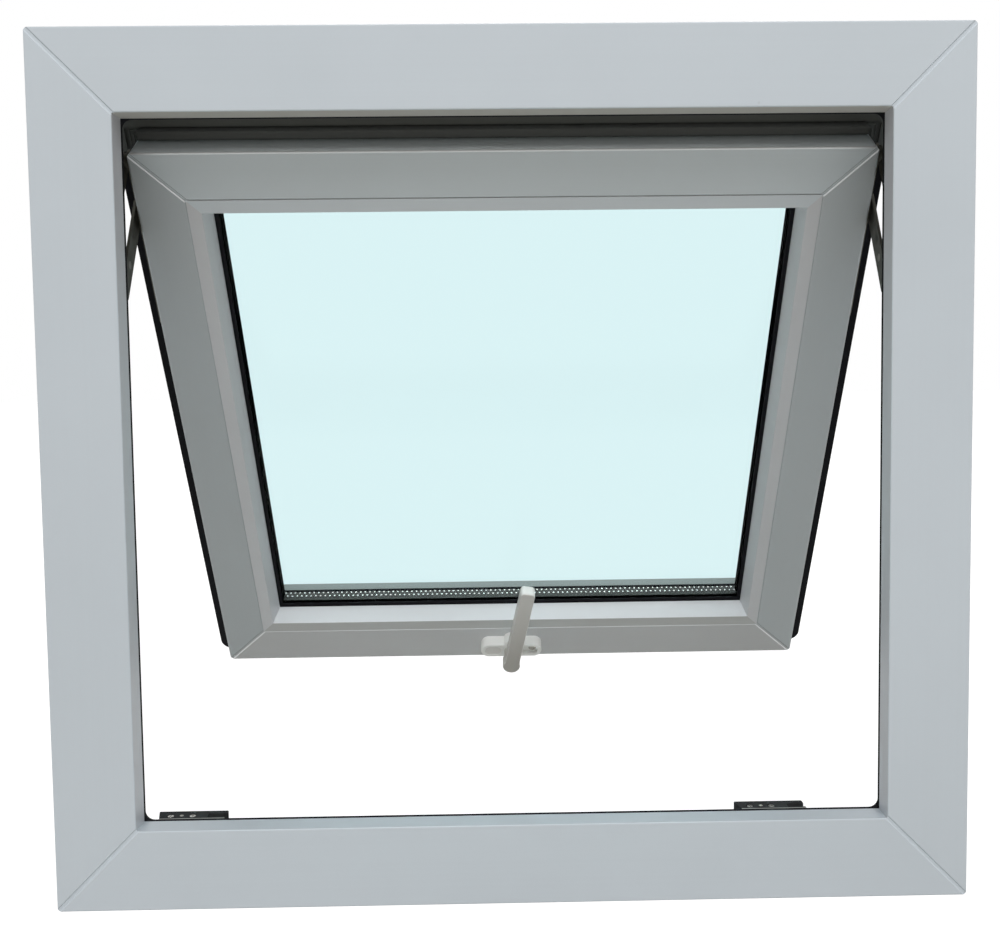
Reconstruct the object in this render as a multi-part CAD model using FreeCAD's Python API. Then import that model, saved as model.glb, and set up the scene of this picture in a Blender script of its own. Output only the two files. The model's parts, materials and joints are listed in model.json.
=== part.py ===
import FreeCAD, Part

import math
import os

# Top hung awning window: a welded frame, an outward opening sash with double glazing that hangs
# on two friction stays, and a lever handle with its lock.
# Millimetres. X runs to the right as seen from the room, Y runs from the room to the outside,
# Z is up. The origin is the middle of the frame's underside.
# The sash, its stays and its handle are drawn in the closed window and then swung open.

Vector = FreeCAD.Vector

X_AXIS = Vector(1, 0, 0)
Y_AXIS = Vector(0, 1, 0)

# Frame
FRAME_WIDTH = 700.0
FRAME_HEIGHT = 663.0
FRAME_DEPTH = 60.0
FRAME_FACE = 62.0
LIP_DEPTH = 21.5
LIP_HEIGHT = 16.5
LIP_EDGE_RADIUS = 1.2
PROFILE_EDGE_RADIUS = 1.0
CORNER_ROUND = 3.0
FIXING_GROOVE_WIDTH = 9.0
FIXING_GROOVE_DEPTH = 2.0
FIXING_GROOVE_SPACING = 34.0
DRAIN_LENGTH = 28.0
DRAIN_HEIGHT = 5.0
DRAIN_DEPTH = 8.0
DRAIN_CORNER = 2.0
DRAIN_SPACING = 400.0
DRAIN_RISE = 13.0

# Welded corners
WELD_GROOVE_WIDTH = 3.6
WELD_GROOVE_FLOOR = 2.0
WELD_GROOVE_DEPTH = 0.9
WELD_GROOVE_OVERRUN = 4.0

# Room left between the frame and the closed sash
SEAL_GAP = 5.0
HARDWARE_GAP = 12.0
SEAL_CLEARANCE = 0.6

# Sash
SASH_DEPTH = 60.0
SASH_FACE = 39.5
SASH_EDGE_RADIUS = 2.0
SASH_CORNER_ROUND = 5.5
FLANGE_CORNER_ROUND = 12.0
FLANGE_OVERLAP = 5.5
OUTER_LEG_DEPTH = 14.0
OUTER_LEG_FALL = 3.0
SIGHT_LINE = 55.3

# Glazing
BEAD_FRONT = 10.9
BEAD_DEPTH = 20.0
BEAD_EDGE_RADIUS = 0.8
BEAD_JOINT_RADIUS = 0.2
RAIL_JOINT_RADIUS = 1.6
GLAZING_GASKET_DEPTH = 3.0
GLAZING_GASKET_LIP = 3.0
PANE_THICKNESS = 4.0
PANE_EDGE_GAP = 4.5
SPACER_HEIGHT = 7.0
SPACER_LIP = 2.8

# Seals between frame and sash
FRAME_SEAL_WIDTH = 9.0
FRAME_SEAL_LIP = 0.2
FRAME_SEAL_CORNER = 7.0
SASH_SEAL_WIDTH = 8.5
SASH_SEAL_MARGIN = 0.4
SASH_SEAL_WEB_WIDTH = 16.6
SASH_SEAL_WEB_THICKNESS = 2.0

# Friction stays
SASH_ANGLE = 32.0
ARM_LENGTH = 79.54
ARM_CLOSED_LEAN = -2.025
ARM_PIVOT_BELOW_TOP = 51.8
PIVOT_BEHIND_FACE = 13.5
LINK_PIVOT_RISE = 40.0
ARM_WIDTH = 16.0
LINK_WIDTH = 14.0
STRIP_THICKNESS = 2.2
LAYER_GAP = 0.4
PIN_RADIUS = 3.5
PIVOT_BOSS_RADIUS = 6.0
RUNNING_CLEARANCE = 0.08
OPEN_PIVOT_CLEARANCE = 0.25
SASH_BAR_WIDTH = 18.0
SASH_BAR_BELOW_PIVOT = 96.0
SASH_BAR_BEHIND_PIVOT = 1.4
TRACK_BASE = 2.0
TRACK_WALL = 1.5
TRACK_WIDTH = 20.0
TRACK_BELOW_PIVOT = 32.0
TRACK_ABOVE_SHOE = 40.0
SHOE_LENGTH = 26.0
SHOE_CLEARANCE = 0.3

# Lock
KEEPER_LENGTH = 56.0
KEEPER_DEPTH = 20.0
KEEPER_HEIGHT = 10.0
KEEPER_LEFT_INSET = 45.0
KEEPER_RIGHT_INSET = 96.5
KEEPER_END_CUT = 5.0
KEEPER_SLOT_LENGTH = 14.0
KEEPER_SLOT_WIDTH = 7.0
KEEPER_SCREW_RADIUS = 3.2
KEEPER_SCREW_INSET = 11.5
KEEPER_SCREW_SPACING = 17.5
KEEPER_SETBACK = 1.0
FACEPLATE_END_GAP = 27.5
FACEPLATE_WIDTH = 16.0
FACEPLATE_THICKNESS = 2.0
CAM_OFFSET = 40.0
CAM_HEAD_RADIUS = 6.0
CAM_NECK_RADIUS = 4.0
CAM_HEAD_HEIGHT = 3.0
CAM_HEIGHT = 8.0

# Handle
HANDLE_ABOVE_EDGE = 19.6
HANDLE_PLATE_LENGTH = 62.0
HANDLE_PLATE_WIDTH = 16.6
HANDLE_PLATE_HEIGHT = 13.0
HANDLE_PLATE_ROUND = 1.2
HANDLE_LOBE_RADIUS = 7.4
HANDLE_LOBE_RISE = 6.2
HANDLE_SCREW_SPACING = 43.0
HANDLE_POCKET_WIDTH = 11.0
HANDLE_POCKET_START = 15.5
HANDLE_POCKET_DEPTH = 4.5
HANDLE_JOURNAL_RADIUS = 5.0
HANDLE_JOURNAL_DEPTH = 6.0
HANDLE_NECK_RADIUS = 7.2
HANDLE_NECK_HEIGHT = 16.4
HANDLE_RUNNING_GAP = 0.3
LEVER_LENGTH = 108.0
LEVER_HEEL_RADIUS = 8.7
LEVER_ROOT_WIDTH = 14.8
LEVER_TIP_WIDTH = 14.0
LEVER_TIP_CORNER = 3.6
LEVER_THICKNESS = 13.0
LEVER_ROUND = 1.6
LEVER_LEAN = 10.0

# Two lengths closer than this are the same
SAME_PLACE = 1e-6

# Places worked out from the sizes above
ROOM_FACE_Y = -FRAME_DEPTH / 2
OUTER_FACE_Y = FRAME_DEPTH / 2
LIP_BACK_Y = ROOM_FACE_Y + LIP_DEPTH
REBATE = FRAME_FACE - LIP_HEIGHT
SASH_EDGE = REBATE + HARDWARE_GAP
SASH_WIDTH = FRAME_WIDTH - 2 * SASH_EDGE
SASH_HEIGHT = FRAME_HEIGHT - 2 * SASH_EDGE
SASH_FRONT_Y = LIP_BACK_Y + SEAL_GAP
SASH_BACK_Y = SASH_FRONT_Y + SASH_DEPTH
FLANGE_Y = OUTER_FACE_Y + SEAL_GAP
FLANGE_REACH = HARDWARE_GAP + FLANGE_OVERLAP
CENTRE_Z = FRAME_HEIGHT / 2

BEAD_BACK_Y = SASH_FRONT_Y + BEAD_DEPTH
INNER_PANE_Y = BEAD_BACK_Y + GLAZING_GASKET_DEPTH
OUTER_LEG_Y = SASH_BACK_Y - OUTER_LEG_DEPTH
OUTER_PANE_Y = OUTER_LEG_Y - GLAZING_GASKET_DEPTH - PANE_THICKNESS
PANE_EDGE = SASH_FACE + PANE_EDGE_GAP

PIVOT_Y = SASH_FRONT_Y + PIVOT_BEHIND_FACE
SASH_PIVOT_Z = FRAME_HEIGHT - SASH_EDGE - ARM_PIVOT_BELOW_TOP
CLOSED_LEAN = math.radians(ARM_CLOSED_LEAN)
OPEN_LEAN = math.radians(ARM_CLOSED_LEAN + SASH_ANGLE)
TRACK_Y = PIVOT_Y - ARM_LENGTH * math.sin(CLOSED_LEAN)
ARM_PIVOT_Z = SASH_PIVOT_Z - ARM_LENGTH * math.cos(CLOSED_LEAN)
LINK_LENGTH = ARM_LENGTH - LINK_PIVOT_RISE
LINK_PIVOT_Y = PIVOT_Y - LINK_PIVOT_RISE * math.sin(CLOSED_LEAN)
LINK_PIVOT_Z = SASH_PIVOT_Z + LINK_PIVOT_RISE * math.cos(CLOSED_LEAN)
SHOE_CLOSED_Z = ARM_PIVOT_Z + 2 * LINK_PIVOT_RISE * math.cos(CLOSED_LEAN)
SHOE_OPEN_Z = ARM_PIVOT_Z + 2 * LINK_PIVOT_RISE * math.cos(OPEN_LEAN)

SASH_SIDE_X = SASH_WIDTH / 2
JAMB_X = FRAME_WIDTH / 2 - REBATE
SASH_BAR_X = SASH_SIDE_X + STRIP_THICKNESS
ARM_X = SASH_BAR_X + LAYER_GAP
LINK_X = ARM_X + STRIP_THICKNESS + LAYER_GAP
SHOE_X = LINK_X + STRIP_THICKNESS + LAYER_GAP
TRACK_X = JAMB_X - TRACK_BASE

LOCK_Y = (OUTER_FACE_Y - KEEPER_SETBACK) - KEEPER_DEPTH / 2
KEEPER_LEFT_X = KEEPER_LEFT_INSET - JAMB_X
KEEPER_RIGHT_X = JAMB_X - KEEPER_RIGHT_INSET
FACEPLATE_LENGTH = SASH_WIDTH - 2 * FACEPLATE_END_GAP
HANDLE_Z = SASH_EDGE + HANDLE_ABOVE_EDGE
HANDLE_TOP_Y = SASH_FRONT_Y - HANDLE_PLATE_HEIGHT


def rounded_outline(corners, to_point):
    """Closed face through corners (a, b, radius), each one rounded by its own radius."""
    points = [to_point(a, b) for a, b, _ in corners]
    entries = []
    exits = []
    middles = []
    for index, point in enumerate(points):
        radius = corners[index][2]
        before = (points[index - 1] - point).normalize()
        after = (points[(index + 1) % len(points)] - point).normalize()
        half = before.getAngle(after) / 2
        setback = radius / math.tan(half)
        entries.append(point + before * setback)
        exits.append(point + after * setback)
        bisector = (before + after).normalize()
        middles.append(point + bisector * (radius / math.sin(half) - radius))
    edges = []
    for index in range(len(points)):
        following = (index + 1) % len(points)
        if corners[index][2] > 0:
            edges.append(Part.Arc(entries[index], middles[index], exits[index]).toShape())
        edges.append(Part.LineSegment(exits[index], entries[following]).toShape())
    return Part.Face(Part.Wire(edges))


def section_face(corners):
    """Profile section with corners (depth Y, height above the outer edge, radius)."""
    return rounded_outline(corners, lambda y, z: Vector(0, y, z))


def mitred_bar(section, length):
    """Bar of a section along X, cut at 45 degrees at both ends; length is measured at height zero."""
    box = section.BoundBox
    half = length / 2
    long_half = half - box.ZMin
    bar = section.extrude(X_AXIS * (2 * long_half))
    bar.translate(X_AXIS * -long_half)
    trapezoid = Part.makePolygon([
        Vector(-long_half, box.YMin, box.ZMin),
        Vector(long_half, box.YMin, box.ZMin),
        Vector(half - box.ZMax, box.YMin, box.ZMax),
        Vector(box.ZMax - half, box.YMin, box.ZMax),
        Vector(-long_half, box.YMin, box.ZMin),
    ])
    return bar.common(Part.Face(trapezoid).extrude(Y_AXIS * box.YLength))


def bar_ring(section, width, height):
    """Four mitred bars of one section around an opening, by the side that each one is on."""
    turns = {"bottom": 0, "left": 90, "top": 180, "right": 270}
    bars = {}
    for side, turn in turns.items():
        upright = side in ("left", "right")
        bar = mitred_bar(section, height if upright else width)
        bar.translate(Vector(0, 0, -(width if upright else height) / 2))
        bar.rotate(Vector(0, 0, 0), Y_AXIS, turn)
        bar.translate(Vector(0, 0, CENTRE_Z))
        bars[side] = bar
    return bars


def plate(width, height, corner, y_front, y_back):
    """Upright plate about the window's middle, with rounded corners."""
    half_width = width / 2
    half_height = height / 2
    corners = [
        (-half_width, CENTRE_Z - half_height, corner),
        (half_width, CENTRE_Z - half_height, corner),
        (half_width, CENTRE_Z + half_height, corner),
        (-half_width, CENTRE_Z + half_height, corner),
    ]
    face = rounded_outline(corners, lambda x, z: Vector(x, y_front, z))
    return face.extrude(Y_AXIS * (y_back - y_front))


def weld_grooves(width, height, run, face_y, into):
    """Four shallow channel cutters from a ring's outer corners inward, along its mitres on one face."""
    cutters = []
    for x_side in (-1, 1):
        for z_side in (-1, 1):
            inward = Vector(-x_side, 0, -z_side).normalize()
            across = Vector(x_side, 0, -z_side).normalize()
            mouth = across * (WELD_GROOVE_WIDTH / 2)
            floor = across * (WELD_GROOVE_FLOOR / 2)
            corner = Vector(x_side * width / 2, face_y, CENTRE_Z + z_side * height / 2)
            start = corner - inward * WELD_GROOVE_OVERRUN
            bottom = start + Y_AXIS * (into * WELD_GROOVE_DEPTH)
            outline = [start - mouth, bottom - floor, bottom + floor, start + mouth, start - mouth]
            length = run * math.sqrt(2) + 2 * WELD_GROOVE_OVERRUN
            cutters.append(Part.Face(Part.makePolygon(outline)).extrude(inward * length))
    return cutters


def welded(bars, cutters):
    """Bars of a ring with its weld grooves cut."""
    return {side: bar.cut(cutters) for side, bar in bars.items()}


def sheet(inset, corner, y_front, y_back):
    """Plate inside the sash outline, set in from the sash edge, with rounded corners."""
    return plate(SASH_WIDTH - 2 * inset, SASH_HEIGHT - 2 * inset, corner, y_front, y_back)


def sheet_ring(outer_inset, inner_inset, outer_corner, inner_corner, y_front, y_back):
    """Flat ring between two outlines that are set in from the sash edge."""
    outer = sheet(outer_inset, outer_corner, y_front, y_back)
    return outer.cut(sheet(inner_inset, inner_corner, y_front, y_back))


def pivot_cylinder(radius, x_from, x_to, y, z):
    """Round pin or hole along X."""
    return Part.makeCylinder(radius, x_to - x_from, Vector(x_from, y, z), X_AXIS)


def slot_strip(width, x_from, y, z_low, z_high):
    """Upright steel strip with round ends about two pivots."""
    half = width / 2
    low = Vector(x_from, y, z_low)
    high = Vector(x_from, y, z_high)
    out = Y_AXIS * half
    edges = [
        Part.LineSegment(low + out, high + out).toShape(),
        Part.Arc(high + out, high + Vector(0, 0, half), high - out).toShape(),
        Part.LineSegment(high - out, low - out).toShape(),
        Part.Arc(low - out, low - Vector(0, 0, half), low + out).toShape(),
    ]
    return Part.Face(Part.Wire(edges)).extrude(X_AXIS * STRIP_THICKNESS)


def mirrored(shape):
    """The same piece on the left side of the window."""
    return shape.mirror(Vector(0, 0, 0), X_AXIS)


def swing_sash(shape):
    """Carry a piece of the closed sash to the open pose: turned on the arms' upper pivots."""
    across = ARM_LENGTH * (math.sin(OPEN_LEAN) - math.sin(CLOSED_LEAN))
    down = ARM_LENGTH * (math.cos(OPEN_LEAN) - math.cos(CLOSED_LEAN))
    moved = shape.copy()
    moved.rotate(Vector(0, PIVOT_Y, SASH_PIVOT_Z), X_AXIS, SASH_ANGLE)
    moved.translate(Vector(0, across, down))
    return moved


def leaned(shape, pivot_z):
    """Turn an upright strip of a stay about its pivot on the track's line, to its lean in the open pose."""
    moved = shape.copy()
    moved.rotate(Vector(0, TRACK_Y, pivot_z), X_AXIS, -math.degrees(OPEN_LEAN))
    return moved


def frame_bars():
    """Frame profile: a box with the lip that the sash closes against and two grooves for fixing clips."""
    groove_near = (FIXING_GROOVE_SPACING - FIXING_GROOVE_WIDTH) / 2
    groove_far = (FIXING_GROOVE_SPACING + FIXING_GROOVE_WIDTH) / 2
    section = section_face([
        (ROOM_FACE_Y, 0, PROFILE_EDGE_RADIUS),
        (ROOM_FACE_Y, FRAME_FACE, LIP_EDGE_RADIUS),
        (LIP_BACK_Y, FRAME_FACE, PROFILE_EDGE_RADIUS),
        (LIP_BACK_Y, REBATE, 0),
        (OUTER_FACE_Y, REBATE, PROFILE_EDGE_RADIUS),
        (OUTER_FACE_Y, 0, PROFILE_EDGE_RADIUS),
        (groove_far, 0, 0),
        (groove_far, FIXING_GROOVE_DEPTH, 0),
        (groove_near, FIXING_GROOVE_DEPTH, 0),
        (groove_near, 0, 0),
        (-groove_near, 0, 0),
        (-groove_near, FIXING_GROOVE_DEPTH, 0),
        (-groove_far, FIXING_GROOVE_DEPTH, 0),
        (-groove_far, 0, 0),
    ])
    outline = plate(FRAME_WIDTH, FRAME_HEIGHT, CORNER_ROUND, ROOM_FACE_Y, OUTER_FACE_Y)
    bars = bar_ring(section, FRAME_WIDTH, FRAME_HEIGHT)
    bars = {side: bar.common(outline) for side, bar in bars.items()}
    grooves = weld_grooves(FRAME_WIDTH, FRAME_HEIGHT, FRAME_FACE, ROOM_FACE_Y, 1)
    grooves += weld_grooves(FRAME_WIDTH, FRAME_HEIGHT, REBATE, OUTER_FACE_Y, -1)
    bars = welded(bars, grooves)
    return {
        "frame_sill": bars["bottom"].cut(drain_slots()),
        "frame_head": bars["top"],
        "frame_jamb_left": bars["left"],
        "frame_jamb_right": bars["right"],
    }


def drain_slots():
    """Two drain slots with rounded corners in the outer face of the sill."""
    half = DRAIN_LENGTH / 2
    low = DRAIN_RISE
    high = DRAIN_RISE + DRAIN_HEIGHT
    slots = []
    for side in (-1, 1):
        middle = side * DRAIN_SPACING / 2
        corners = [
            (middle - half, low, DRAIN_CORNER),
            (middle + half, low, DRAIN_CORNER),
            (middle + half, high, DRAIN_CORNER),
            (middle - half, high, DRAIN_CORNER),
        ]
        face = rounded_outline(corners, lambda x, z: Vector(x, OUTER_FACE_Y - DRAIN_DEPTH, z))
        slots.append(face.extrude(Y_AXIS * DRAIN_DEPTH))
    return slots


def frame_gasket():
    """Black seal on the back of the lip, standing a little past its edge."""
    lip_inset = FRAME_FACE - SASH_EDGE
    inner = lip_inset + FRAME_SEAL_LIP
    y_back = SASH_FRONT_Y - SEAL_CLEARANCE
    return sheet_ring(inner - FRAME_SEAL_WIDTH, inner, 0, FRAME_SEAL_CORNER, LIP_BACK_Y, y_back)


def sash_bars():
    """Sash profile: a box, the flange that laps over the frame outside, and the outer glazing leg."""
    section = section_face([
        (SASH_FRONT_Y, 0, SASH_EDGE_RADIUS),
        (SASH_FRONT_Y, SASH_FACE, RAIL_JOINT_RADIUS),
        (OUTER_LEG_Y, SASH_FACE, 0),
        (OUTER_LEG_Y, SIGHT_LINE, PROFILE_EDGE_RADIUS),
        (SASH_BACK_Y, SIGHT_LINE - OUTER_LEG_FALL, SASH_EDGE_RADIUS),
        (SASH_BACK_Y, -FLANGE_REACH, SASH_EDGE_RADIUS),
        (FLANGE_Y, -FLANGE_REACH, PROFILE_EDGE_RADIUS),
        (FLANGE_Y, 0, 0),
    ])
    flange_width = SASH_WIDTH + 2 * FLANGE_REACH
    flange_height = SASH_HEIGHT + 2 * FLANGE_REACH
    box = plate(SASH_WIDTH, SASH_HEIGHT, SASH_CORNER_ROUND, SASH_FRONT_Y, FLANGE_Y)
    flange = plate(flange_width, flange_height, FLANGE_CORNER_ROUND, FLANGE_Y, SASH_BACK_Y)
    outline = box.fuse(flange)
    bars = bar_ring(section, SASH_WIDTH, SASH_HEIGHT)
    bars = {side: bar.common(outline) for side, bar in bars.items()}
    outer_run = FLANGE_REACH + SIGHT_LINE - OUTER_LEG_FALL
    grooves = weld_grooves(SASH_WIDTH, SASH_HEIGHT, SASH_FACE, SASH_FRONT_Y, 1)
    grooves += weld_grooves(flange_width, flange_height, outer_run, SASH_BACK_Y, -1)
    bars = welded(bars, grooves)
    return {
        "sash_bottom_rail": bars["bottom"].cut(faceplate()),
        "sash_top_rail": bars["top"],
        "sash_stile_left": bars["left"],
        "sash_stile_right": bars["right"],
    }


def glazing_beads():
    """Beads that hold the glass from the room side: a flat front, then a slope down to the glass."""
    section = section_face([
        (SASH_FRONT_Y, SASH_FACE, BEAD_JOINT_RADIUS),
        (SASH_FRONT_Y, SASH_FACE + BEAD_FRONT, BEAD_EDGE_RADIUS),
        (BEAD_BACK_Y, SIGHT_LINE, BEAD_EDGE_RADIUS),
        (BEAD_BACK_Y, SASH_FACE, 0),
    ])
    bars = bar_ring(section, SASH_WIDTH, SASH_HEIGHT)
    return {"bead_" + side: bar for side, bar in bars.items()}


def glazing():
    """Double glazing: two panes, the spacer between them and a gasket on each side."""
    gasket_inner_edge = SIGHT_LINE + GLAZING_GASKET_LIP
    spacer_inner = SIGHT_LINE + SPACER_LIP
    inner_back = INNER_PANE_Y + PANE_THICKNESS
    outer_back = OUTER_PANE_Y + PANE_THICKNESS
    spacer_outer = spacer_inner - SPACER_HEIGHT
    return {
        "glazing_gasket_inner": sheet_ring(PANE_EDGE, gasket_inner_edge, 0, 0, BEAD_BACK_Y, INNER_PANE_Y),
        "pane_inner": sheet(PANE_EDGE, 0, INNER_PANE_Y, inner_back),
        "glass_spacer": sheet_ring(spacer_outer, spacer_inner, 0, 0, inner_back, OUTER_PANE_Y),
        "pane_outer": sheet(PANE_EDGE, 0, OUTER_PANE_Y, outer_back),
        "glazing_gasket_outer": sheet_ring(PANE_EDGE, gasket_inner_edge, 0, 0, outer_back, OUTER_LEG_Y),
    }


def sash_gasket():
    """Black seal on the inner face of the sash flange: a raised bulb on a wide flat web."""
    outer = SASH_SEAL_MARGIN - FLANGE_REACH
    corner = FLANGE_CORNER_ROUND - SASH_SEAL_MARGIN
    bulb_y = OUTER_FACE_Y + SEAL_CLEARANCE
    web_y = FLANGE_Y - SASH_SEAL_WEB_THICKNESS
    bulb = sheet_ring(outer, outer + SASH_SEAL_WIDTH, corner, corner - SASH_SEAL_WIDTH, bulb_y, FLANGE_Y)
    web = sheet_ring(outer, outer + SASH_SEAL_WEB_WIDTH, corner, 0, web_y, FLANGE_Y)
    return web.fuse(bulb).removeSplitter()


def stay_track():
    """Channel on the right jamb, with the boss and pin that the stay arm turns on."""
    z_low = ARM_PIVOT_Z - TRACK_BELOW_PIVOT
    length = SHOE_CLOSED_Z + TRACK_ABOVE_SHOE - z_low
    y_low = TRACK_Y - TRACK_WIDTH / 2
    depth = JAMB_X - SHOE_X
    channel = Part.makeBox(depth, TRACK_WIDTH, length, Vector(SHOE_X, y_low, z_low))
    groove_width = TRACK_WIDTH - 2 * TRACK_WALL
    groove_corner = Vector(SHOE_X, y_low + TRACK_WALL, z_low)
    groove = Part.makeBox(depth - TRACK_BASE, groove_width, length, groove_corner)
    boss = pivot_cylinder(PIVOT_BOSS_RADIUS, LINK_X, TRACK_X, TRACK_Y, ARM_PIVOT_Z)
    pin = pivot_cylinder(PIN_RADIUS, ARM_X, LINK_X, TRACK_Y, ARM_PIVOT_Z)
    return channel.cut(groove).fuse([boss, pin]).removeSplitter()


def stay_arm(sash_pivot_clearance):
    """Long steel arm from the track up to the sash, on the right side."""
    top_z = ARM_PIVOT_Z + ARM_LENGTH
    arm = slot_strip(ARM_WIDTH, ARM_X, TRACK_Y, ARM_PIVOT_Z, top_z)
    x_end = ARM_X + STRIP_THICKNESS
    track_hole = pivot_cylinder(PIN_RADIUS + RUNNING_CLEARANCE, ARM_X, x_end, TRACK_Y, ARM_PIVOT_Z)
    sash_hole = pivot_cylinder(PIN_RADIUS + sash_pivot_clearance, ARM_X, x_end, TRACK_Y, top_z)
    return leaned(arm.cut(track_hole).cut(sash_hole), ARM_PIVOT_Z)


def stay_link():
    """Short steel link from the shoe up to the sash, on the right side."""
    top_z = SHOE_OPEN_Z + LINK_LENGTH
    link = slot_strip(LINK_WIDTH, LINK_X, TRACK_Y, SHOE_OPEN_Z, top_z)
    x_end = LINK_X + STRIP_THICKNESS
    for z in (SHOE_OPEN_Z, top_z):
        link = link.cut(pivot_cylinder(PIN_RADIUS + RUNNING_CLEARANCE, LINK_X, x_end, TRACK_Y, z))
    return leaned(link, SHOE_OPEN_Z)


def stay_shoe():
    """Shoe that slides in the track and carries the link's lower pin."""
    width = TRACK_WIDTH - 2 * TRACK_WALL - 2 * SHOE_CLEARANCE
    thickness = TRACK_X - SHOE_CLEARANCE - SHOE_X
    corner = Vector(SHOE_X, TRACK_Y - width / 2, SHOE_OPEN_Z - SHOE_LENGTH / 2)
    block = Part.makeBox(thickness, width, SHOE_LENGTH, corner)
    return block.fuse(pivot_cylinder(PIN_RADIUS, LINK_X, SHOE_X, TRACK_Y, SHOE_OPEN_Z)).removeSplitter()


def stay_sash_bar():
    """Steel bar on the sash stile, with the pins of the arm and of the link."""
    bar_y = PIVOT_Y + SASH_BAR_BEHIND_PIVOT
    low_z = SASH_PIVOT_Z - SASH_BAR_BELOW_PIVOT
    bar = slot_strip(SASH_BAR_WIDTH, SASH_SIDE_X, bar_y, low_z, LINK_PIVOT_Z)
    x_end = LINK_X + STRIP_THICKNESS
    arm_pin = pivot_cylinder(PIN_RADIUS, SASH_BAR_X, ARM_X + STRIP_THICKNESS, PIVOT_Y, SASH_PIVOT_Z)
    link_collar = pivot_cylinder(PIVOT_BOSS_RADIUS, SASH_BAR_X, LINK_X, LINK_PIVOT_Y, LINK_PIVOT_Z)
    link_pin = pivot_cylinder(PIN_RADIUS, LINK_X, x_end, LINK_PIVOT_Y, LINK_PIVOT_Z)
    return bar.fuse([arm_pin, link_collar, link_pin]).removeSplitter()


def keeper(centre_x):
    """Steel keeper on the sill rebate: slanted at one end, with two screw holes and a lock slot."""
    half = KEEPER_LENGTH / 2
    low = LOCK_Y - KEEPER_DEPTH / 2
    high = LOCK_Y + KEEPER_DEPTH / 2
    corners = [
        (centre_x - half + KEEPER_END_CUT, low, PROFILE_EDGE_RADIUS),
        (centre_x + half, low, PROFILE_EDGE_RADIUS),
        (centre_x + half, high, PROFILE_EDGE_RADIUS),
        (centre_x - half, high, PROFILE_EDGE_RADIUS),
    ]
    base = rounded_outline(corners, lambda x, y: Vector(x, y, REBATE))
    block = base.extrude(Vector(0, 0, KEEPER_HEIGHT))
    slot_corner = Vector(centre_x + half - KEEPER_SLOT_LENGTH, LOCK_Y - KEEPER_SLOT_WIDTH / 2, REBATE)
    block = block.cut(Part.makeBox(KEEPER_SLOT_LENGTH, KEEPER_SLOT_WIDTH, KEEPER_HEIGHT, slot_corner))
    for number in range(2):
        screw_x = centre_x - half + KEEPER_SCREW_INSET + number * KEEPER_SCREW_SPACING
        screw = Part.makeCylinder(KEEPER_SCREW_RADIUS, KEEPER_HEIGHT, Vector(screw_x, LOCK_Y, REBATE))
        block = block.cut(screw)
    return block


def faceplate():
    """Lock faceplate, let in flush with the underside of the bottom rail."""
    corner = Vector(-FACEPLATE_LENGTH / 2, LOCK_Y - FACEPLATE_WIDTH / 2, SASH_EDGE)
    return Part.makeBox(FACEPLATE_LENGTH, FACEPLATE_WIDTH, FACEPLATE_THICKNESS, corner)


def lock_pieces():
    """Faceplate under the bottom rail and the two cams that turn into the keepers."""
    pieces = {"lock_faceplate": faceplate()}
    for name, keeper_x in (("lock_cam_left", KEEPER_LEFT_X), ("lock_cam_right", KEEPER_RIGHT_X)):
        foot = Vector(keeper_x + CAM_OFFSET, LOCK_Y, SASH_EDGE - CAM_HEIGHT)
        neck = Part.makeCylinder(CAM_NECK_RADIUS, CAM_HEIGHT, foot)
        head = Part.makeCylinder(CAM_HEAD_RADIUS, CAM_HEAD_HEIGHT, foot)
        pieces[name] = neck.fuse(head).removeSplitter()
    return pieces


def oval(half_width, x_from, x_to, y, depth):
    """Block with round ends on the handle's axis, from a depth Y on."""
    left = Vector(x_from, y, HANDLE_Z)
    right = Vector(x_to, y, HANDLE_Z)
    up = Vector(0, 0, half_width)
    edges = [
        Part.LineSegment(left + up, right + up).toShape(),
        Part.Arc(right + up, right + X_AXIS * half_width, right - up).toShape(),
        Part.LineSegment(right - up, left - up).toShape(),
        Part.Arc(left - up, left - X_AXIS * half_width, left + up).toShape(),
    ]
    return Part.Face(Part.Wire(edges)).extrude(Y_AXIS * depth)


def rimmed(block, radius, y):
    """Block with the edges of its face at a depth Y rounded."""
    rims = []
    for edge in block.Edges:
        box = edge.BoundBox
        if box.YLength < SAME_PLACE and abs(box.YMax - y) < SAME_PLACE:
            rims.append(edge)
    return block.makeFillet(radius, rims)


def handle_base():
    """Oval handle base with a lobe above its middle, two screw pockets and the lever's bore."""
    half = HANDLE_PLATE_WIDTH / 2
    run = HANDLE_PLATE_LENGTH / 2 - half
    base = oval(half, -run, run, SASH_FRONT_Y, -HANDLE_PLATE_HEIGHT)
    base = rimmed(base, HANDLE_PLATE_ROUND, HANDLE_TOP_Y)
    lobe_middle = Vector(0, SASH_FRONT_Y, HANDLE_Z + HANDLE_LOBE_RISE)
    lobe = Part.makeCylinder(HANDLE_LOBE_RADIUS, HANDLE_PLATE_HEIGHT, lobe_middle, Y_AXIS * -1)
    base = base.fuse(rimmed(lobe, HANDLE_PLATE_ROUND, HANDLE_TOP_Y)).removeSplitter()
    pocket_half = HANDLE_POCKET_WIDTH / 2
    screw_x = HANDLE_SCREW_SPACING / 2
    for x_from, x_to in ((HANDLE_POCKET_START, screw_x), (-screw_x, -HANDLE_POCKET_START)):
        base = base.cut(oval(pocket_half, x_from, x_to, HANDLE_TOP_Y, HANDLE_POCKET_DEPTH))
    bore_radius = HANDLE_JOURNAL_RADIUS + RUNNING_CLEARANCE
    bore_depth = HANDLE_JOURNAL_DEPTH + HANDLE_RUNNING_GAP
    return base.cut(Part.makeCylinder(bore_radius, bore_depth, Vector(0, HANDLE_TOP_Y, HANDLE_Z), Y_AXIS))


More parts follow.
